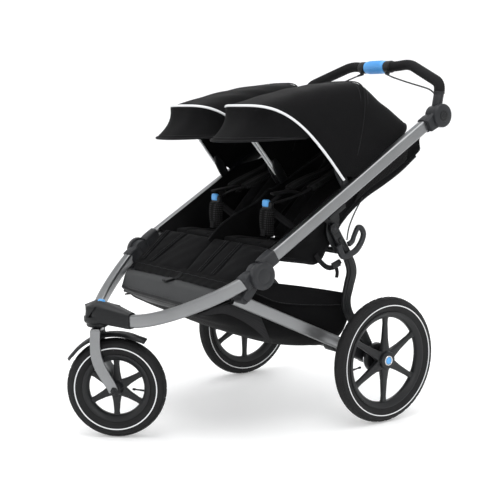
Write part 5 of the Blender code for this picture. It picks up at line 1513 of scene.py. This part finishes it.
# -------------------------------------------------------------------- basket
def make_basket():
    stations = [(-0.590, 0.376, 0.392), (-0.530, 0.345, 0.402), (-0.400, 0.285, 0.432),
                (-0.260, 0.238, 0.425), (-0.130, 0.214, 0.404), (-0.075, 0.216, 0.394),
                (-0.052, 0.250, 0.390), (-0.046, 0.372, 0.388)]
    line = curve_through(stations, 6)
    rows = []
    for k, (y, floor, top) in enumerate(line):
        half = 0.216 + (y + 0.515) * 0.095
        row = []
        for i in range(49):
            turn = math.pi * i / 48
            c, s = math.cos(turn), max(math.sin(turn), 0.0)
            sag = 0.0022 * math.sin(k * 0.7 + i * 0.5) * s
            row.append(at(half * math.copysign(abs(c) ** 0.45, c), y,
                          top - (top - floor - sag) * s ** 0.6))
        rows.append(row)
    cloth("basket_cloth", rows, "rear_chassis", "hung", ["axle_tube"], ("basket",))
    for s, name in SIDES:
        j = 0 if s > 0 else -1
        piping("basket_rim_" + name, [row[j] for row in rows[2:-2]], 0.0032, "nylon_webbing",
               "rear_chassis")
        seam = [(-0.465, 0.452), (-0.400, 0.424), (-0.326, 0.394), (-0.200, 0.374), (-0.060, 0.361)]
        top = [(-0.400, 0.475), (-0.352, 0.461), (-0.260, 0.444), (-0.160, 0.424), (-0.069, 0.404)]
        flap = []
        for k in range(7):
            t = k / 6
            a, b = board_line(top, 6), board_line(seam, 6)
            flap.append([at(s * (0.238 + 0.095 * (p.y + 0.515) * 0.5 + 0.003 * math.sin(3.1 * t)),
                            *p.lerp(q, t).yz) for p, q in zip(a, b)])
        cloth("basket_cover_" + name, flap, "rear_chassis", "stretched", ["basket_cloth"])
        corner = [(-0.605, 0.380), (-0.560, 0.378), (-0.498, 0.374), (-0.412, 0.327),
                  (-0.330, 0.255)]
        upper = [(-0.604, 0.384), (-0.575, 0.390), (-0.530, 0.401), (-0.470, 0.406),
                 (-0.400, 0.398)]
        a, b = board_line(upper, 6), board_line(corner, 6)
        patch = [[at(s * (0.2125 + 0.080 * (p.y + 0.58)), *p.lerp(q, k / 6).yz)
                  for p, q in zip(a, b)] for k in range(7)]
        cloth("basket_corner_" + name, patch, "rear_chassis", "stretched", ["basket_cloth"],
              finish="grey_ripstop")
        stitching("basket_thread_" + name,
                  [[p + Vector((s * 0.0022, 0, 0.004)) for p in flap[-1]]], "rear_chassis")
    for obj in list(bpy.context.scene.objects):
        if obj.name.startswith("basket_"):
            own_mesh(obj)


# --------------------------------------------------------------------- stage
def make_stage(settings):
    """Pale seamless floor, soft overhead and side lights, and the camera."""
    profile = [(0.0, 0.0), (9.0, 0.0)]
    for i in range(1, 13):
        turn = math.pi / 2 * i / 12
        profile.append((9.0 + 4.0 * math.sin(turn), 4.0 - 4.0 * math.cos(turn)))
    profile.append((13.0, 9.0))
    shape = turned([(z, r) for r, z in profile], 96, False)
    upright = Matrix.Rotation(-math.pi / 2, 4, "Y")
    floor = mesh_object("studio_floor", [moved(shape, upright)])
    floor.data.flip_normals()
    floor.data.shade_smooth()
    paper, _, shader = surface("matt_studio_paper", settings.floor_colour, 0.9)
    shader.inputs["Emission Color"].default_value = (1.0, 1.0, 1.0, 1.0)
    shader.inputs["Emission Strength"].default_value = 0.22
    floor.data.materials.append(paper)
    world = bpy.data.worlds.new("soft_white_room")
    world.use_nodes = True
    sky = world.node_tree.nodes["Background"]
    sky.inputs["Color"].default_value = linear("#E8E9EA")
    sky.inputs["Strength"].default_value = settings.room_light
    bpy.context.scene.world = world
    for name, place, target, size, power in (
            ("overhead_softbox", (0.3, -0.2, 3.6), (0, 0, 0.4), 3.4, 70),
            ("key_softbox", (4.2, -1.2, 2.6), (0, 0, 0.6), 2.4, 30),
            ("fill_softbox", (-1.5, -4.5, 1.8), (0, 0, 0.5), 2.6, 22),
            ("rim_softbox", (-2.5, 3.2, 2.8), (0, 0, 0.7), 2.2, 30)):
        lamp = bpy.data.lights.new(name, "AREA")
        lamp.shape = "DISK"
        lamp.size = size
        lamp.energy = power
        obj = bpy.data.objects.new(name, lamp)
        bpy.context.scene.collection.objects.link(obj)
        obj.location = place
        obj.rotation_euler = (Vector(target) - Vector(place)).to_track_quat("-Z", "Y").to_euler()
    lens = bpy.data.cameras.new("camera")
    lens.lens = 76.30
    lens.sensor_width = 36
    lens.shift_x = 0.1061
    lens.shift_y = 0.0146
    lens.clip_end = 60
    camera = bpy.data.objects.new("camera", lens)
    bpy.context.scene.collection.objects.link(camera)
    camera.location = (2.75088, -2.013105, 0.98755)
    camera.rotation_euler = (math.pi / 2 - math.radians(8.080), 0, math.radians(56.193))
    bpy.context.scene.camera = camera
    bpy.context.scene.view_settings.view_transform = "Standard"


# ------------------------------------------------------- settings, operators
class StrollerSettings(bpy.types.PropertyGroup):
    """The sizes and colours that are meant to be changed."""
    tube_colour: bpy.props.FloatVectorProperty(
        name="Tubes", description="Colour of the anodised frame tubes", subtype="COLOR", size=3,
        min=0.0, max=1.0, default=linear("#7F8081")[:3])
    accent_colour: bpy.props.FloatVectorProperty(
        name="Accents", description="Colour of buttons, knob and brake grip", subtype="COLOR",
        size=3, min=0.0, max=1.0, default=linear("#3F90D6")[:3])
    cloth_colour: bpy.props.FloatVectorProperty(
        name="Cloth", description="Darker yarn of the canopies and panels", subtype="COLOR",
        size=3, min=0.0, max=1.0, default=linear("#060607")[:3])
    floor_colour: bpy.props.FloatVectorProperty(
        name="Floor", description="Colour of the studio paper", subtype="COLOR", size=3,
        min=0.0, max=1.0, default=linear("#F1F1F1")[:3])
    room_light: bpy.props.FloatProperty(
        name="Room light", description="Strength of the even white surroundings", default=1.0,
        min=0.0, max=5.0)
    pad_pressure: bpy.props.FloatProperty(
        name="Pad pressure", description="How hard the cushions are filled", default=4.0, min=0.0,
        max=12.0)


class STROLLER_OT_finishes(bpy.types.Operator):
    """Every material of the stroller"""
    bl_idname = "stroller.finishes"
    bl_label = "Finishes"

    def execute(self, context):
        make_finishes(context.scene.stroller)
        return {"FINISHED"}


class STROLLER_OT_stage(bpy.types.Operator):
    """Studio floor, soft lights and camera"""
    bl_idname = "stroller.stage"
    bl_label = "Stage"

    def execute(self, context):
        make_stage(context.scene.stroller)
        return {"FINISHED"}


class STROLLER_OT_cables(bpy.types.Operator):
    """Handlebar with its foam, twist grip, collars and brake cables"""
    bl_idname = "stroller.handlebar"
    bl_label = "Handlebar and cables"

    def execute(self, context):
        make_handlebar()
        return {"FINISHED"}


class STROLLER_OT_wheels(bpy.types.Operator):
    """Tyres, rims, spokes, valves and hub buttons of the three wheels"""
    bl_idname = "stroller.wheels"
    bl_label = "Wheels"

    def execute(self, context):
        make_wheels()
        return {"FINISHED"}


class STROLLER_OT_caster(bpy.types.Operator):
    """Front fork, its axle, stem and mudguard"""
    bl_idname = "stroller.caster"
    bl_label = "Front fork"

    def execute(self, context):
        make_caster()
        return {"FINISHED"}


class STROLLER_OT_frame(bpy.types.Operator):
    """Frame tubes, head housing, fold hinges and handle hinges"""
    bl_idname = "stroller.frame"
    bl_label = "Frame and hinges"

    def execute(self, context):
        make_frame()
        return {"FINISHED"}


class STROLLER_OT_chassis(bpy.types.Operator):
    """Rear legs, axle, drums and the parking pedal"""
    bl_idname = "stroller.chassis"
    bl_label = "Rear chassis"

    def execute(self, context):
        make_chassis()
        return {"FINISHED"}


class STROLLER_OT_struts(bpy.types.Operator):
    """Folding struts with their saddles, latches and tether straps"""
    bl_idname = "stroller.struts"
    bl_label = "Struts and latches"

    def execute(self, context):
        make_struts()
        return {"FINISHED"}


class STROLLER_OT_footrest(bpy.types.Operator):
    """Footrest board, its lip and the quilted leg panel"""
    bl_idname = "stroller.footrest"
    bl_label = "Footrest"

    def execute(self, context):
        make_footrest()
        return {"FINISHED"}


class STROLLER_OT_seats(bpy.types.Operator):
    """Seat and back pads, divider, side cloth and harnesses"""
    bl_idname = "stroller.seats"
    bl_label = "Seats"

    def execute(self, context):
        make_seats()
        return {"FINISHED"}


class STROLLER_OT_canopies(bpy.types.Operator):
    """Both hoods with their bands, visors, hinges and rear curtains"""
    bl_idname = "stroller.canopies"
    bl_label = "Canopies"

    def execute(self, context):
        make_canopies()
        return {"FINISHED"}


class STROLLER_OT_basket(bpy.types.Operator):
    """Sling basket with its cover strips and front corners"""
    bl_idname = "stroller.basket"
    bl_label = "Basket"

    def execute(self, context):
        make_basket()
        return {"FINISHED"}


STEPS = (STROLLER_OT_finishes, STROLLER_OT_stage, STROLLER_OT_cables, STROLLER_OT_wheels,
         STROLLER_OT_caster, STROLLER_OT_frame, STROLLER_OT_chassis, STROLLER_OT_struts,
         STROLLER_OT_footrest, STROLLER_OT_seats, STROLLER_OT_canopies, STROLLER_OT_basket)


class STROLLER_PT_panel(bpy.types.Panel):
    """Lists the settings and the steps that build the stroller"""
    bl_idname = "STROLLER_PT_panel"
    bl_label = "Jogging stroller"
    bl_space_type = "VIEW_3D"
    bl_region_type = "UI"
    bl_category = "Stroller"

    def draw(self, context):
        for key in ("tube_colour", "accent_colour", "cloth_colour", "floor_colour", "room_light",
                    "pad_pressure"):
            self.layout.prop(context.scene.stroller, key)
        for step in STEPS:
            self.layout.operator(step.bl_idname)


CLASSES = (StrollerSettings, *STEPS, STROLLER_PT_panel)


def register():
    for one in CLASSES:
        bpy.utils.register_class(one)
    bpy.types.Scene.stroller = bpy.props.PointerProperty(type=StrollerSettings)


def unregister():
    del bpy.types.Scene.stroller
    for one in reversed(CLASSES):
        bpy.utils.unregister_class(one)


def main():
    register()
    for step in STEPS:
        group, name = step.bl_idname.split(".")
        getattr(getattr(bpy.ops, group), name)()


if __name__ == "__main__":
    main()
